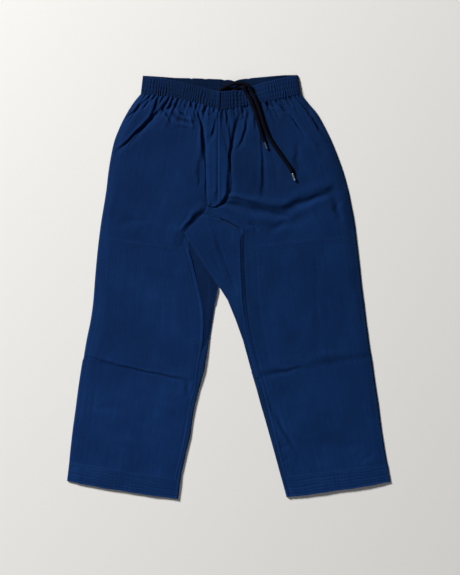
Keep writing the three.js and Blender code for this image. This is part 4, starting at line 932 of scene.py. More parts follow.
def waistband_back():
    n = 520
    f = np.linspace(0, 1, n)
    xf, xt = -196.3 + 357.7 * f, -191.8 + 346.5 * f
    s = f * 352.0
    rows = []
    for v in np.concatenate([np.linspace(0, 1, 30), [1.03, 1.05]]):
        vv = min(v, 1.0)
        px = xf + (xt - xf) * vv
        yf, yt = along_x(BACK_BAND_FOOT, xf), along_x(BACK_BAND_TOP, xt)
        py = yf + (yt - yf) * vv
        swell = band_profile(np.full(n, vv))
        z = 1.55 + 0.35 * swell + 0.5 * rib_wave(s, vv, 2.9) * (0.5 + 0.5 * swell)
        # seam strip at the centre back
        z = z + np.exp(-(((px + 23.0) / 5.5) ** 4)) * (0.4 + 0.10 * (px + 23.0))
        if v > 1:
            z = z - 0.9 * (v - 1) / 0.05
        scallop = 0.5 * np.maximum(0, rib_wave(s, 1.0, 2.9)) - 0.35
        # the top edge is nicked where the elastic pulls it in
        for nick, wide, deep in ((-83.0, 3.0, 1.2), (-52.0, 4.0, 0.9), (-9.0, 4.0, 1.3), (13.0, 6.0, 2.2), (44.0, 4.0, 0.9)):
            scallop = scallop - deep * np.exp(-((px - nick) / wide) ** 2)
        py = py + scallop * ease((vv - 0.75) / 0.25)
        rows.append(np.stack([px, py, np.clip(z, 0.9, 2.5)], axis=-1))
    P = outward(np.stack(rows))
    return make("waistband_back_cloth", P, CLOTH_INSIDE, thickness=0.8)


band_back = waistband_back()
band_front = waistband_front()

# ------------------------------------------------------------------ fly placket
FLY = np.array([
    [-47.8, -17.4, 392.4], [-48.5, -16.9, 376], [-49.4, -15.5, 357], [-50.0, -11.5, 336],
    [-50.1, -5.5, 312], [-50.1, -1.0, 288], [-50.1, 3.5, 264], [-49.6, 7.4, 240],
    [-48.8, 6.5, 221], [-47.5, 0.0, 203], [-45.0, -14.0, 190], [-43.3, -26.0, 181.5]])


def fly():
    trees = tree_of(front_right, front_left)
    ys = np.arange(392.4, 181.4, -1.9)
    k = np.interp(-ys, -FLY[:, 2], np.arange(len(FLY)))
    xl = np.interp(-ys, -FLY[:, 2], FLY[:, 0])
    xr = np.interp(-ys, -FLY[:, 2], FLY[:, 1])
    U = np.linspace(0, 1, 34)
    Z = np.zeros((len(ys), len(U)))
    X = xl[:, None] + (xr - xl)[:, None] * U[None, :]
    for i in range(len(ys)):
        for j in range(len(U)):
            z, _ = top_at(trees, X[i, j], ys[i])
            Z[i, j] = 9.0 if z is None else z
    # laid over the panels, so it bridges their narrow troughs
    for _ in range(3):
        P = np.pad(Z, 2, mode="edge")
        Z = np.maximum(Z, sum(P[a:a + Z.shape[0], b:b + Z.shape[1]] for a in range(5) for b in range(5)) / 25)
    Y = np.broadcast_to(ys[:, None], X.shape)
    w = (xr - xl)[:, None]
    roll = 0.9 * np.exp(-((U[None, :] - 0.8) / 0.22) ** 2) * ease((372 - Y) / 60)
    seam = X + 23.5
    Z = Z + 0.75 + roll + 0.8 * np.exp(-((seam - 3.4) / 2.4) ** 2) - 1.3 * np.exp(-(seam / 1.5) ** 2) * ease((Y - 192) / 14)
    Z = Z + 0.35 * np.exp(-((seam + 7.0) / 5.0) ** 4)
    edge = np.minimum(U[None, :] * w, (1 - U[None, :]) * w)
    Z = Z - 0.6 * np.clip(1 - edge / 1.6, 0, 1) ** 2 - 0.3 * np.exp(-((edge - 3.2) / 0.9) ** 2)
    Z = Z + pucker(-Y, edge, 9.0, 6.0, 0.16, 6.1)
    P = np.stack([X, Y, Z], axis=-1)
    return make("fly_placket_cloth", outward(P), cloth_material("twill_fly", (6, 32, 71), (8, 38, 82), (12, 45, 92), seed=8.3), thickness=0.6)


fly_cloth = fly()


# ------------------------------------------------------------------ knee patches
ACROSS = [0, 0.018, 0.055, 0.1, 0.17, 0.25, 0.33, 0.41, 0.49, 0.57, 0.65, 0.73, 0.8, 0.87, 0.94, 1]


def patch(side, table, t0, t1, u0, u1, material):
    T = row_steps(table, t0 + 0.02, t1 - 0.02, GRID)
    U = np.linspace(u0 + 0.004, u1 - 0.004, 96)
    P, w = section(table, side, T, U)
    run = np.concatenate([[0], np.cumsum(np.linalg.norm(np.diff(P[:, 48], axis=0), axis=1))])
    down = np.minimum(run, run[-1] - run)[:, None]
    over = np.minimum((U[None, :] - u0) * w, (u1 - U[None, :]) * w)
    edge = np.minimum(down, over)
    z = 0.24 - 0.18 * np.clip(1 - edge / 7.0, 0, 1) ** 2
    z = z - 0.07 * np.exp(-((over - 3.0) / 0.9) ** 2) - 0.14 * sum(np.exp(-((down - q) / 0.9) ** 2) for q in (3.0, 9.5, 16.0))
    z = z + 0.12 * np.exp(-((edge - 6.0) / 2.0) ** 2)
    z = z + pucker(run[:, None] + 0 * U[None, :], over, 10.5, 9.0, 0.20, 2.2)
    z = z + pucker(P[..., 0], down, 11.5, 9.0, 0.20, 3.8)
    # quilting rows of the reinforcement are pressed in faintly
    P[..., 2] = np.maximum(P[..., 2] + z, P[..., 2] + 0.05)
    return make("knee_patch_" + side + "_cloth", outward(P), material, thickness=0.5)


patch_right = patch("right", RIGHT, 10, 17, 0.1, 0.94, CLOTH_PATCH_R)
patch_left = patch("left", LEFT, 11, 17, 0.1, 0.87, CLOTH_PATCH_L)

# ------------------------------------------------------------------ hem bands
HEM_ROWS = 6
HEM_PITCH = 6.8
HEM_SINK = (0.30, 0.62, 0.45, 0.70, 0.50, 0.62)      # depth of each row of stitching


def hem(side, table, line, material):
    T = row_steps(table, 23.99, 25.0, 1.5)
    r = spline(table, T)
    ex, ey = inner_end(r, line)
    L = np.hypot(ex - r[:, XO], ey - r[:, YO])
    dx, dy = (ex - r[:, XO]) / L, (ey - r[:, YO]) / L
    seam = np.hypot(r[:, XI] - r[:, XO], r[:, YI] - r[:, YO])
    down = np.linspace(0, 43.0, len(T))
    # rows of stitching: troughs every HEM_PITCH down the band
    tuck = np.zeros(len(T))
    for k in range(HEM_ROWS):
        tuck += np.exp(-((down - 3.2 - k * HEM_PITCH) / 1.25) ** 2)
    r0 = 2.0
    h1 = r[:, ZI] + 0.5
    r1 = h1 / 2
    S, Z, B, W = [], [], [], []
    for u in np.linspace(0.03, 0.97, 44):
        W.append(0 * L)
        S.append(L * u)
        Z.append(0.12 + 0.35 * tuck + 0 * L)
        B.append(np.minimum(1, L * u / seam))
    for k in range(0, 9):
        q = math.pi * (k / 8 - 0.5)
        W.append(0 * L)
        S.append(L - r1 + (r1 - 0.25 * tuck * math.sin(math.pi * k / 8)) * math.cos(q))
        Z.append(r1 + (r1 - 0.15 * tuck) * math.sin(q))
        B.append(np.minimum(1, S[-1] / seam))
    for k in range(107, 0, -1):
        u = k / 108
        s = r0 + (L - r1 - r0) * u
        U = np.minimum(1, s / seam)
        P, _ = section(table, side, T, np.stack([U], axis=1))
        z = P[:, 0, 2] + 0.45
        x = r[:, XO] + dx * s
        z = (4.0 + (h1 - 4.0) * u) * (1 - min(1, 12 * u * (1 - u))) + z * min(1, 12 * u * (1 - u))
        ripple = pucker(s, 0 * s, 7.5, 5.0, 0.28, 1.1) + pucker(s + 2 * down, 0 * s, 13.0, 5.0, 0.22, 7.0)
        wob = (0.9 * np.sin(s / 21.0 + 1.1) + 0.5 * np.sin(s / 8.7) + 0.5 * np.sin(s / 13.0 + down / 9.0)) * min(1, 9 * u * (1 - u))
        row = 0 * L
        for j in range(HEM_ROWS):
            row = row + HEM_SINK[j] * (1 + 0.45 * np.sin(s / 27.0 + 2.3 * j)) * np.exp(-((down + wob - 3.2 - j * HEM_PITCH) / 1.35) ** 2)
        W.append(wob)
        z = z - (0.9 if side == "right" else 1.5) * np.exp(-((L - s - 8.5) / 1.9) ** 2) + 0.5 * np.exp(-((L - s - 4.0) / 2.2) ** 2)
        S.append(s)
        Z.append(np.maximum(z, 3.4) - row + 0.1 + 0.2 * ease(down / 4.0) + ripple * (1 - row) * ease(down / 5.0))
        B.append(U)
    for k in range(0, 9):
        q = math.pi * (0.5 + k / 8)
        W.append(0 * L)
        S.append(r0 + r0 * math.cos(q) + 0.0 * L)
        Z.append(r0 + r0 * math.sin(q) * (1 - 0.08 * tuck))
        B.append(np.minimum(1, S[-1] / seam))
    S, Z, B = np.stack(S, 1), np.stack(Z, 1), np.stack(B, 1)
    y_bow = r[:, BOW][:, None] * 4 * B * (1 - B)
    wave = 0.5 * np.sin(S / 19.0 + 1.0) + 0.35 * np.sin(S / 8.3)
    end = ease((down - 38.0) / 5.0)[:, None]
    P = np.stack([r[:, XO][:, None] + dx[:, None] * S,
                  r[:, YO][:, None] + dy[:, None] * S + y_bow + 0.8 * wave * end, np.maximum(Z, 0.06)], axis=-1)
    ring = P[:, ::-1] if side == "right" else P
    obj = make("hem_" + side + "_cloth", ring, material, closed=True, parts=[(ring, True, None)], thickness=THICK)
    return obj, P, down, np.stack(W, 1)


hem_right, HEM_P_R, HEM_D_R, HEM_W_R = hem("right", RIGHT, INNER_RIGHT, CLOTH_HEM)
hem_left, HEM_P_L, HEM_D_L, HEM_W_L = hem("left", LEFT, INNER_LEFT, CLOTH_HEM)

# ------------------------------------------------------------------ drawstring
CORD_W, CORD_H = 9.0, 5.0
AGLET_D, AGLET_L = 5.0, 17.0
CORD_RIGHT = [
    (-19.7, 431.8, 5.35), (-16.8, 440.8, 5.4), (-7.3, 448.2, 6.6), (6.2, 453.2, 10.9), (19.7, 455.9, 11.2),
    (33.2, 455.4, 12.2), (45.4, 450.1, 12.9), (54.6, 435.8), (62.4, 420.5), (69.0, 403.6), (74.6, 385.6),
    (81.3, 364.3), (89.4, 340.6), (97.3, 324.9), (107.4, 309.2), (122.1, 288.9), (138.9, 264.2), (142.5, 254.7)]
CORD_LEFT = [
    (7.3, 430.6, 5.35), (9.6, 437.8, 5.35), (16.3, 444.4, 5.5), (25.5, 448.8, 7.4), (34.0, 445.2, 12.2),
    (39.9, 434.5), (46.0, 422.8), (52.1, 410.4), (57.3, 396.9), (64.2, 374.4), (71.4, 349.7), (76.6, 335.0),
    (80.4, 325.3)]


def centripetal(points, count):
    """Centripetal Catmull-Rom curve through the points, evenly spaced."""
    P = np.array(points, float)
    P = np.vstack([2 * P[0] - P[1], P, 2 * P[-1] - P[-2]])
    out = []
    for i in range(1, len(P) - 2):
        p0, p1, p2, p3 = P[i - 1:i + 3]
        t0 = 0.0
        t1 = t0 + np.linalg.norm(p1 - p0) ** 0.5
        t2 = t1 + np.linalg.norm(p2 - p1) ** 0.5
        t3 = t2 + np.linalg.norm(p3 - p2) ** 0.5
        for t in np.linspace(t1, t2, 24, endpoint=False):
            a1 = (t1 - t) / (t1 - t0) * p0 + (t - t0) / (t1 - t0) * p1
            a2 = (t2 - t) / (t2 - t1) * p1 + (t - t1) / (t2 - t1) * p2
            a3 = (t3 - t) / (t3 - t2) * p2 + (t - t2) / (t3 - t2) * p3
            b1 = (t2 - t) / (t2 - t0) * a1 + (t - t0) / (t2 - t0) * a2
            b2 = (t3 - t) / (t3 - t1) * a2 + (t - t1) / (t3 - t1) * a3
            out.append((t2 - t) / (t2 - t1) * b1 + (t - t1) / (t2 - t1) * b2)
    out.append(P[-2])
    out = np.array(out)
    run = np.concatenate([[0], np.cumsum(np.linalg.norm(np.diff(out, axis=0), axis=1))])
    s = np.linspace(0, run[-1], count)
    return np.stack([np.interp(s, run, out[:, k]) for k in range(3)], axis=1), run[-1]


def cord_path(table, trees):
    pts = []
    n = len(table)
    for i, row in enumerate(table):
        if len(row) == 3:
            pts.append(row)
            continue
        a, b = table[max(0, i - 1)], table[min(n - 1, i + 1)]
        tx, ty = b[0] - a[0], b[1] - a[1]
        L = math.hypot(tx, ty)
        nx, ny = -ty / L, tx / L
        high = 0.0
        for k in range(-4, 5):
            s = k / 4.0
            z, _ = top_at(trees, row[0] + nx * s * CORD_W / 2, row[1] + ny * s * CORD_W / 2, 5.0)
            high = max(high, z + CORD_H / 2 * math.sqrt(max(0.0, 1 - s * s)))
        pts.append((row[0], row[1], high + 0.25))
    return pts


def rope_material(name):
    """Flat braided cord: black yarns that cross, with a dull sheen."""
    m = bpy.data.materials.new(name)
    m.use_nodes = True
    nt = m.node_tree
    N, L = nt.nodes, nt.links
    bsdf = N["Principled BSDF"]
    bsdf.inputs["Roughness"].default_value = 0.8
    bsdf.inputs["Specular IOR Level"].default_value = 0.04
    bsdf.inputs["Sheen Weight"].default_value = 0.0
    uv = N.new("ShaderNodeUVMap")
    uv.uv_map = "UVMap"
    heights = []
    for turn in (0.78, -0.78):
        mp = N.new("ShaderNodeMapping")
        mp.inputs["Rotation"].default_value = (0, 0, turn)
        mp.inputs["Scale"].default_value = (1000.0, 1000.0, 1.0)
        L.new(uv.outputs[0], mp.inputs["Vector"])
        w = N.new("ShaderNodeTexWave")
        w.inputs["Scale"].default_value = 0.22
        w.inputs["Distortion"].default_value = 0.4
        L.new(mp.outputs[0], w.inputs["Vector"])
        heights.append(w)
    top = N.new("ShaderNodeMath")
    top.operation = "MAXIMUM"
    L.new(heights[0].outputs["Fac"], top.inputs[0])
    L.new(heights[1].outputs["Fac"], top.inputs[1])
    tex = N.new("ShaderNodeTexCoord")
    noise = N.new("ShaderNodeTexNoise")
    noise.inputs["Scale"].default_value = 700.0
    noise.inputs["Detail"].default_value = 2.0
    L.new(tex.outputs["Object"], noise.inputs["Vector"])
    mix = N.new("ShaderNodeMath")
    mix.operation = "MULTIPLY"
    L.new(top.outputs[0], mix.inputs[0])
    L.new(noise.outputs["Fac"], mix.inputs[1])
    ramp = N.new("ShaderNodeValToRGB")
    ramp.color_ramp.elements[0].color = srgb(3, 4, 9)
    ramp.color_ramp.elements[0].position = 0.15
    ramp.color_ramp.elements[1].color = srgb(9, 11, 25)
    ramp.color_ramp.elements[1].position = 0.6
    L.new(mix.outputs[0], ramp.inputs[0])
    L.new(ramp.outputs[0], bsdf.inputs["Base Color"])
    b = N.new("ShaderNodeBump")
    b.inputs["Strength"].default_value = 0.6
    b.inputs["Distance"].default_value = 0.3 * MM
    L.new(top.outputs[0], b.inputs["Height"])
    L.new(b.outputs[0], bsdf.inputs["Normal"])
    return m


def metal_material(name, base, rough, dirt):
    m = bpy.data.materials.new(name)
    m.use_nodes = True
    nt = m.node_tree
    N, L = nt.nodes, nt.links
    bsdf = N["Principled BSDF"]
    bsdf.inputs["Metallic"].default_value = 1.0
    tex = N.new("ShaderNodeTexCoord")
    noise = N.new("ShaderNodeTexNoise")
    noise.inputs["Scale"].default_value = 380.0
    noise.inputs["Detail"].default_value = 5.0
    L.new(tex.outputs["Object"], noise.inputs["Vector"])
    ramp = N.new("ShaderNodeValToRGB")
    ramp.color_ramp.elements[0].color = srgb(*dirt)
    ramp.color_ramp.elements[0].position = 0.32
    ramp.color_ramp.elements[1].color = srgb(*base)
    ramp.color_ramp.elements[1].position = 0.52
    L.new(noise.outputs["Fac"], ramp.inputs[0])
    L.new(ramp.outputs[0], bsdf.inputs["Base Color"])
    r = N.new("ShaderNodeMapRange")
    r.inputs["To Min"].default_value = rough
    r.inputs["To Max"].default_value = rough + 0.2
    L.new(noise.outputs["Fac"], r.inputs["Value"])
    L.new(r.outputs[0], bsdf.inputs["Roughness"])
    b = N.new("ShaderNodeBump")
    b.inputs["Strength"].default_value = 0.25
    b.inputs["Distance"].default_value = 0.08 * MM
    L.new(noise.outputs["Fac"], b.inputs["Height"])
    L.new(b.outputs[0], bsdf.inputs["Normal"])
    return m


CORD_BLACK = rope_material("braided_cord")
METAL_BRIGHT = metal_material("aglet_bright", (206, 210, 214), 0.28, (120, 124, 130))
# a darker, rougher copy of the aglet metal: painted shade for the left aglet
METAL_PAINTED_SHADE = metal_material("aglet_painted_shade", (92, 98, 112), 0.42, (34, 38, 52))


def frames(C):
    """Side and up vectors along a centreline, up as near the vertical as it can be."""
    T = np.gradient(C, axis=0)
    T /= np.linalg.norm(T, axis=1)[:, None]
    side = np.cross(np.array([0.0, 0.0, 1.0])[None, :], T)
    side /= np.linalg.norm(side, axis=1)[:, None]
    up = np.cross(T, side)
    return T, side, up


def drawstring(name, table, trees, material, nudge):
    pts = [(x + nudge * ease((455 - y) / 30.0) * ease((y - 315) / 45.0) if i > 5 else x, y, z) for i, (x, y, z) in enumerate(cord_path(table, trees))]
    C, length = centripetal(pts, 420)
    T, side, up = frames(C)
    run = np.linspace(0, length, len(C))
    m = 28
    th = np.linspace(0, 2 * np.pi, m, endpoint=False)
    # braid: two sets of yarns that cross over the flat tube
    a, b = 0.93 * CORD_W / 2, CORD_H / 2
    ring = []
    for q in th:
        over = np.sin(4 * q + run * 2 * np.pi / 6.2)
        cross = np.sin(-4 * q + run * 2 * np.pi / 6.2)
        relief = 0.13 * np.maximum(over, cross) + 0.06 * np.sin(run / 9.0 + 2 * q)
        closing = np.minimum(1, (length - run) / 2.0 + 0.55)
        e = 1.0 + relief / 3.4
        ring.append(C + side * (a * math.cos(q) * e * closing)[:, None] + up * (b * math.sin(q) * e * closing)[:, None])
    P = np.stack(ring, axis=1)
    # closed ends
    P[0] = C[0] + (P[0] - C[0]) * 0.05
    P[-1] = C[-1] + (P[-1] - C[-1]) * 0.05
    tex_u = th / (2 * np.pi) * 23.0
    tex = np.stack(np.broadcast_arrays(tex_u[None, :], run[:, None]), axis=-1)
    e1 = P[1:, 0] - P[:-1, 0]
    e2 = P[:-1, 1] - P[:-1, 0]
    out = P[:-1, 0] - C[:-1]
    if (np.cross(e1, e2) * out).sum() < 0:
        P, tex = P[:, ::-1], tex[:, ::-1]
    obj = make(name, P, material, closed=True, parts=[(P, True, tex)])
    return obj, C, length, T


def aglet(name, tip, direction, material, z=None):
    """Crimped metal sleeve with rolled rims and a closed tip."""
    d = Vector(direction)
    d.z = 0
    d.normalize()
    side = Vector((-d.y, d.x, 0))
    up = Vector((0, 0, 1))
    start = Vector(tip) + d * 0.4
    prof = []
    R = AGLET_D / 2
    for s, r in ((0, 1.55), (0.0, 2.1), (0.25, 2.42), (0.7, 2.5), (1.2, 2.4), (1.6, 2.22), (2.4, 2.28), (3.6, 2.30), (4.3, 2.26),
                 (4.8, 2.22), (5.3, 2.26), (6.0, 2.28), (8.0, 2.30), (9.3, 2.28), (9.9, 2.26), (10.4, 2.22), (10.9, 2.26),
                 (11.6, 2.26), (13.5, 2.26), (15.0, 2.24), (15.6, 2.42), (16.2, 2.44), (16.7, 2.25), (17.0, 1.7), (17.0, 0.05)):
        prof.append((s, r))
    m = 40
    rows = []
    for s, r in prof:
        row = []
        for k in range(m):
            q = 2 * math.pi * k / m
            # pressed a little flat where it is crimped
            flat = 1.0 - 0.03 * math.exp(-((s - 4.8) / 1.4) ** 2) - 0.03 * math.exp(-((s - 10.4) / 1.4) ** 2)
            wide = 1.0 + 0.03 * (1 - flat) * 10
            nick = 1.0 - 0.05 * math.exp(-(((q - math.pi / 2) / 0.12) ** 2))
            p = start + d * s + side * (min(R, r * wide) * math.cos(q) * nick) + up * (r * flat * math.sin(q) * nick)
            row.append((p.x, p.y, p.z))
        rows.append(row)
    P = np.array(rows)
    c = P.mean(axis=1)
    e1, e2 = P[1:, 0] - P[:-1, 0], P[:-1, 1] - P[:-1, 0]
    if (np.cross(e1, e2)[5:15] * (P[5:15, 0] - c[5:15])).sum() < 0:
        P = P[:, ::-1]
    return make(name, P, material, parts=[(P, True, None)])


cord_trees = tree_of(front_right, front_left, band_front, fly_cloth)
cord_right, PATH_R, LENGTH_R, DIR_R = drawstring("drawstring_right_cord", CORD_RIGHT, cord_trees, CORD_BLACK, -2.6)
cord_left, PATH_L, LENGTH_L, DIR_L = drawstring("drawstring_left_cord", CORD_LEFT, cord_trees, CORD_BLACK, 0.9)
aglet_right = aglet("aglet_right_metal", PATH_R[-1], DIR_R[-1], METAL_BRIGHT)
# the left aglet takes the darker copy of the metal, painted shade
aglet_left = aglet("aglet_left_metal", PATH_L[-1], DIR_L[-1], METAL_PAINTED_SHADE)


# ------------------------------------------------------------------ stitches
class Stitches:
    """Many small rounded stitches in one mesh."""

    def __init__(self, name, material):
        self.name, self.material = name, material
        self.verts, self.faces = [], []

    def add(self, x, y, z, normal, ux, uy, length, width=0.75, high=0.38, sink=0.12):
        n = Vector(normal).normalized()
        t = Vector((ux, uy, 0.0))
        t = (t - n * t.dot(n)).normalized()
        b = n.cross(t)
        c = Vector((x, y, z))
        base = len(self.verts)
        for s, w, h in ((-0.5, 0.25, -sink), (-0.28, 0.5, high), (0.28, 0.5, high), (0.5, 0.25, -sink)):
            for q, up in ((-1.0, -0.25), (-0.6, 0.75), (0.6, 0.75), (1.0, -0.25)):
                p = c + t * (s * length) + b * (q * w * width) + n * (h * (0.6 + up * 0.4) if h > 0 else h)
                self.verts.append((p.x, p.y, p.z))
        for i in range(3):
            for j in range(3):
                a = base + i * 4 + j
                self.faces.append((a, a + 1, a + 5, a + 4))

    def build(self):
        V = (np.array(self.verts) - np.array([CENTRE[0], CENTRE[1], 0.0])) * MM
        mesh = bpy.data.meshes.new(self.name)
        mesh.from_pydata(V.tolist(), [], self.faces)
        mesh.polygons.foreach_set("use_smooth", np.ones(len(self.faces), dtype=bool))
        mesh.materials.append(self.material)
        mesh.update()
        # all stitches face up or outwards
        obj = bpy.data.objects.new(self.name, mesh)
        bpy.context.scene.collection.objects.link(obj)
        OBJECTS[self.name] = obj
        return obj


def run_stitches(group, points, trees, pitch=3.6, length=2.6, width=0.75, high=0.34, across=False, jitter=0.12):
    """Stitches along a line of plan points, laid on what is beneath."""
    P = np.array(points, float)
    step = np.hypot(*np.diff(P[:, :2], axis=0).T)
    run = np.concatenate([[0], np.cumsum(step)])
    s = pitch / 2
    while s < run[-1]:
        at = s + random.uniform(-jitter, jitter)
        x, y = np.interp(at, run, P[:, 0]), np.interp(at, run, P[:, 1])
        x2, y2 = np.interp(at + 0.5, run, P[:, 0]), np.interp(at + 0.5, run, P[:, 1])
        x1, y1 = np.interp(at - 0.5, run, P[:, 0]), np.interp(at - 0.5, run, P[:, 1])
        ux, uy = x2 - x1, y2 - y1
        n = math.hypot(ux, uy) or 1.0
        ux, uy = ux / n, uy / n
        z, normal = top_at(trees, x, y)
        if z is not None and normal.z > 0.35:
            if across:
                ux, uy = -uy, ux
            group.add(x, y, z, normal, ux, uy, length * random.uniform(0.92, 1.05), width, high)
        s += pitch


def edge_line(table, side, t0, t1, inset, inner=True, n=160):
    """Plan line at a distance from a panel's edge."""
    T = np.linspace(t0, t1, n)
    r = spline(table, T)
    L = np.hypot(r[:, XI] - r[:, XO], r[:, YI] - r[:, YO])
    u = 1 - inset / L if inner else inset / L
    x = r[:, XO] + (r[:, XI] - r[:, XO]) * u
    y = r[:, YO] + (r[:, YI] - r[:, YO]) * u + r[:, BOW] * 4 * u * (1 - u)
    return list(zip(x, y))


def build_stitches():
    made = []
    r_tree, l_tree = tree_of(front_right), tree_of(front_left)
    # inner leg seams, two lines each, and side seams, one line each
    g = Stitches("seam_stitches_right", THREAD)
    for inset in (2.2, 7.6):
        run_stitches(g, edge_line(RIGHT, "right", CROTCH + 0.1, 23.9, inset), r_tree)
    run_stitches(g, edge_line(RIGHT, "right", 0.15, 23.9, 9.4, inner=False), r_tree)
    made.append((g.build(), "back"))
    g = Stitches("seam_stitches_left", THREAD)
    for inset in (2.2, 7.6):
        run_stitches(g, edge_line(LEFT, "left", CROTCH + 0.1, 23.9, inset), l_tree)
    run_stitches(g, edge_line(LEFT, "left", 0.15, 23.9, 9.4, inner=False), l_tree)
    made.append((g.build(), "back"))
    # knee patches
    for side, table, t0, t1, u0, u1, obj in (("right", RIGHT, 10, 17, 0.1, 0.94, patch_right), ("left", LEFT, 11, 17, 0.1, 0.87, patch_left)):
        g = Stitches("patch_stitches_" + side, THREAD)
        tree = tree_of(obj)
        for inset in (3.0, 9.5, 16.0):
            T = np.linspace(t0 + 0.02, t1 - 0.02, 160)
            r = spline(table, T)
            w = np.hypot(r[:, XI] - r[:, XO], r[:, YI] - r[:, YO])
            ends = []
            for u_side in ((u0 + inset / w, u1 - inset / w) if inset < 4 else ()):
                x = r[:, XO] + (r[:, XI] - r[:, XO]) * u_side
                y = r[:, YO] + (r[:, YI] - r[:, YO]) * u_side
                step = (inset / 38.0)
                keep = (T > t0 + step) & (T < t1 - step)
                run_stitches(g, list(zip(x[keep], y[keep])), tree)
            for t in (t0 + inset / 36.0, t1 - inset / 44.0):
                row = spline(table, [t])[0]
                wr = math.hypot(row[XI] - row[XO], row[YI] - row[YO])
                us = np.linspace(u0 + inset / wr, u1 - inset / wr, 60)
                x = row[XO] + (row[XI] - row[XO]) * us
                y = row[YO] + (row[YI] - row[YO]) * us
                run_stitches(g, list(zip(x, y)), tree)
        made.append((g.build(), "patch"))
    # waistband rows
    g = Stitches("band_stitches", THREAD_DARK_AND_PAINTED_SHADOW)
    tree = tree_of(band_front)
    f = np.linspace(0.004, 0.996, 400)
    pr = section(RIGHT, "right", [0.0], np.linspace(0, 1, 200))[0][0]
    pl = section(LEFT, "left", [0.0], np.linspace(0, 1, 200))[0][0][::-1][1:]
    foot = np.concatenate([pr, pl])
    ff = np.linspace(0, 1, len(foot))
    cx = -191.8 + 346.0 * f
    for v in (0.035, 0.15, 0.40, 0.64, 0.87):
        px = np.interp(f, ff, foot[:, 0]) * (1 - v) + cx * v
        py = (np.interp(f, ff, foot[:, 1]) + 0.6) * (1 - v) + along_x(FRONT_BAND_TOP, cx) * v
        run_stitches(g, list(zip(px, py)), tree, pitch=3.0, length=2.2)
    tree = tree_of(band_back)
    for v in (0.60, 0.87):
        xf, xt = -196.3 + 357.7 * f, -191.8 + 346.5 * f
        px = xf * (1 - v) + xt * v
        py = along_x(BACK_BAND_FOOT, xf) * (1 - v) + along_x(BACK_BAND_TOP, xt) * v
        run_stitches(g, list(zip(px, py)), tree, pitch=3.0, length=2.2, high=0.22)
    made.append((g.build(), "band"))
    # fly: ladder of cross stitches down the centre, plain lines down its edges
    g = Stitches("fly_stitches", THREAD)
    tree = tree_of(fly_cloth)
    ys = np.linspace(388, 186, 120)
    xl = np.interp(-ys, -FLY[:, 2], FLY[:, 0])
    xr = np.interp(-ys, -FLY[:, 2], FLY[:, 1])
    run_stitches(g, list(zip(xl + 3.0, ys)), tree, pitch=3.2, length=2.4)
    keep = ys < 372
    run_stitches(g, list(zip((xr - 3.2)[keep], ys[keep])), tree, pitch=3.2, length=2.4)
    seam_x = -30.6 + 0.8 * np.sin((ys - 190) / 60.0)
    run_stitches(g, list(zip(seam_x, ys)), tree, pitch=4.4, length=9.0, width=1.4, high=0.5, across=True)
    run_stitches(g, [(-44.0, 186.5), (-30.0, 186.5)], tree, pitch=2.6, length=4.0, width=0.9, across=True)
    made.append((g.build(), "front"))
    # gusset
    g = Stitches("gusset_stitches", THREAD)
    tree = tree_of(gusset_cloth)
    T = np.linspace(7.6, 17.6, 240)
    r = spline(LEFT, T)
    xe, ye = column(GUSSET_TOP, T, 1), column(GUSSET_TOP, T, 2)
    L = np.hypot(r[:, XI] - xe, r[:, YI] - ye)
    dx, dy = (xe - r[:, XI]) / L, (ye - r[:, YI]) / L
    for s in (2.4, 6.5):
        ok = L > s + 9
        run_stitches(g, list(zip((r[:, XI] + dx * s)[ok], (r[:, YI] + dy * s)[ok])), tree)
    made.append((g.build(), "gusset"))
    # dark stitches along the gusset's seam: painted shadow, a dark line where the seam lies in deep shade
    g = Stitches("gusset_seam_painted_shadow_stitches", THREAD_DARK_AND_PAINTED_SHADOW)
    both = tree_of(gusset_cloth, front_left, front_right)
    run_stitches(g, [(-46.5, 161.6), (-38.0, 158.6), (-24.0, 155.4), (-20.5, 154.8)], both, pitch=2.4, length=2.6, width=1.2, high=0.3)
    line = [(x - 0.6, y - 1.2) for x, y in edge_line(LEFT, "left", 8.2, 9.95, 0.4)]
    run_stitches(g, line, both, pitch=2.4, length=2.6, width=1.2, high=0.3)
    made.append((g.build(), "gusset"))
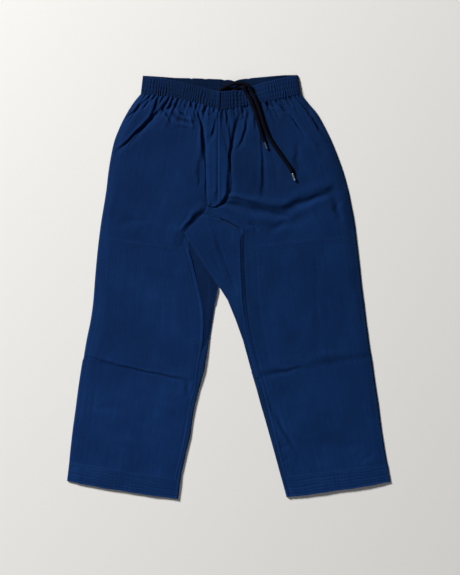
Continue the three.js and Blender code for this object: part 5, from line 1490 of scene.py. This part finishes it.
    # hems: the band's rows of stitching, on the upper face of the tube
    for side, table, line, obj in (("right", RIGHT, INNER_RIGHT, hem_right), ("left", LEFT, INNER_LEFT, hem_left)):
        g = Stitches("hem_stitches_" + side, THREAD)
        tree = tree_of(obj)
        P = HEM_P_R if side == "right" else HEM_P_L
        down = HEM_D_R if side == "right" else HEM_D_L
        top0, top1 = 54, 158
        grid = P[:, top0:top1]
        shift = (HEM_W_R if side == "right" else HEM_W_L)[len(down) // 2, top0:top1]
        for k in range(HEM_ROWS):
            d = 3.2 + k * HEM_PITCH
            x = np.array([np.interp(d - shift[j], down, grid[:, j, 0]) for j in range(grid.shape[1])])
            y = np.array([np.interp(d - shift[j], down, grid[:, j, 1]) for j in range(grid.shape[1])])
            run_stitches(g, list(zip(x, y)), tree, pitch=3.3, length=2.5)
        made.append((g.build(), "hem"))
    return made


STITCHED = build_stitches()

# ------------------------------------------------------------------ attach
for obj in list(OBJECTS.values()):
    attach(obj, "root")

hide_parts("front_leg_right")
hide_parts("front_leg_left")
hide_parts("back_leg_right")
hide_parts("back_leg_left")
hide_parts("gusset")
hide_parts("waistband_front")
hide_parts("waistband_back")
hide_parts("fly_placket")
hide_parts("knee_patch_right")
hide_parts("knee_patch_left")
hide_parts("hem_right")
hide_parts("hem_left")
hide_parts("drawstring_right")
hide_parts("drawstring_left")
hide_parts("aglet_right")
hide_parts("aglet_left")

# ------------------------------------------------------------------ floor and light
floor_mesh = bpy.data.meshes.new("floor")
half = 3.0
floor_mesh.from_pydata([(-half, -half, 0), (half, -half, 0), (half, half, 0), (-half, half, 0)], [], [(0, 1, 2, 3)])
floor = bpy.data.objects.new("floor", floor_mesh)
bpy.context.scene.collection.objects.link(floor)
fm = bpy.data.materials.new("floor")
fm.use_nodes = True
fb = fm.node_tree.nodes["Principled BSDF"]
fb.inputs["Base Color"].default_value = srgb(222, 221, 219)
fb.inputs["Roughness"].default_value = 0.9
floor_mesh.materials.append(fm)


def area_light(name, where, aim, size, power, color):
    data = bpy.data.lights.new(name, "AREA")
    data.shape = "DISK"
    data.size = size
    data.energy = power
    data.color = color
    obj = bpy.data.objects.new(name, data)
    obj.location = where
    obj.rotation_euler = (Vector(aim) - Vector(where)).to_track_quat("-Z", "Y").to_euler()
    bpy.context.scene.collection.objects.link(obj)
    return obj


area_light("key", (-5.0, 4.3, 3.6), (0, 0, 0), 1.7, 1060.0, (1.0, 0.99, 0.97))
area_light("fill", (-0.8, -3.2, 2.2), (0, -0.3, 0), 2.2, 22.0, (0.97, 0.98, 1.0))
world = bpy.data.worlds.new("world")
world.use_nodes = True
world.node_tree.nodes["Background"].inputs[0].default_value = (0.86, 0.89, 0.94, 1.0)
world.node_tree.nodes["Background"].inputs[1].default_value = 0.06
bpy.context.scene.world = world
bpy.context.scene.view_settings.view_transform = "Standard"
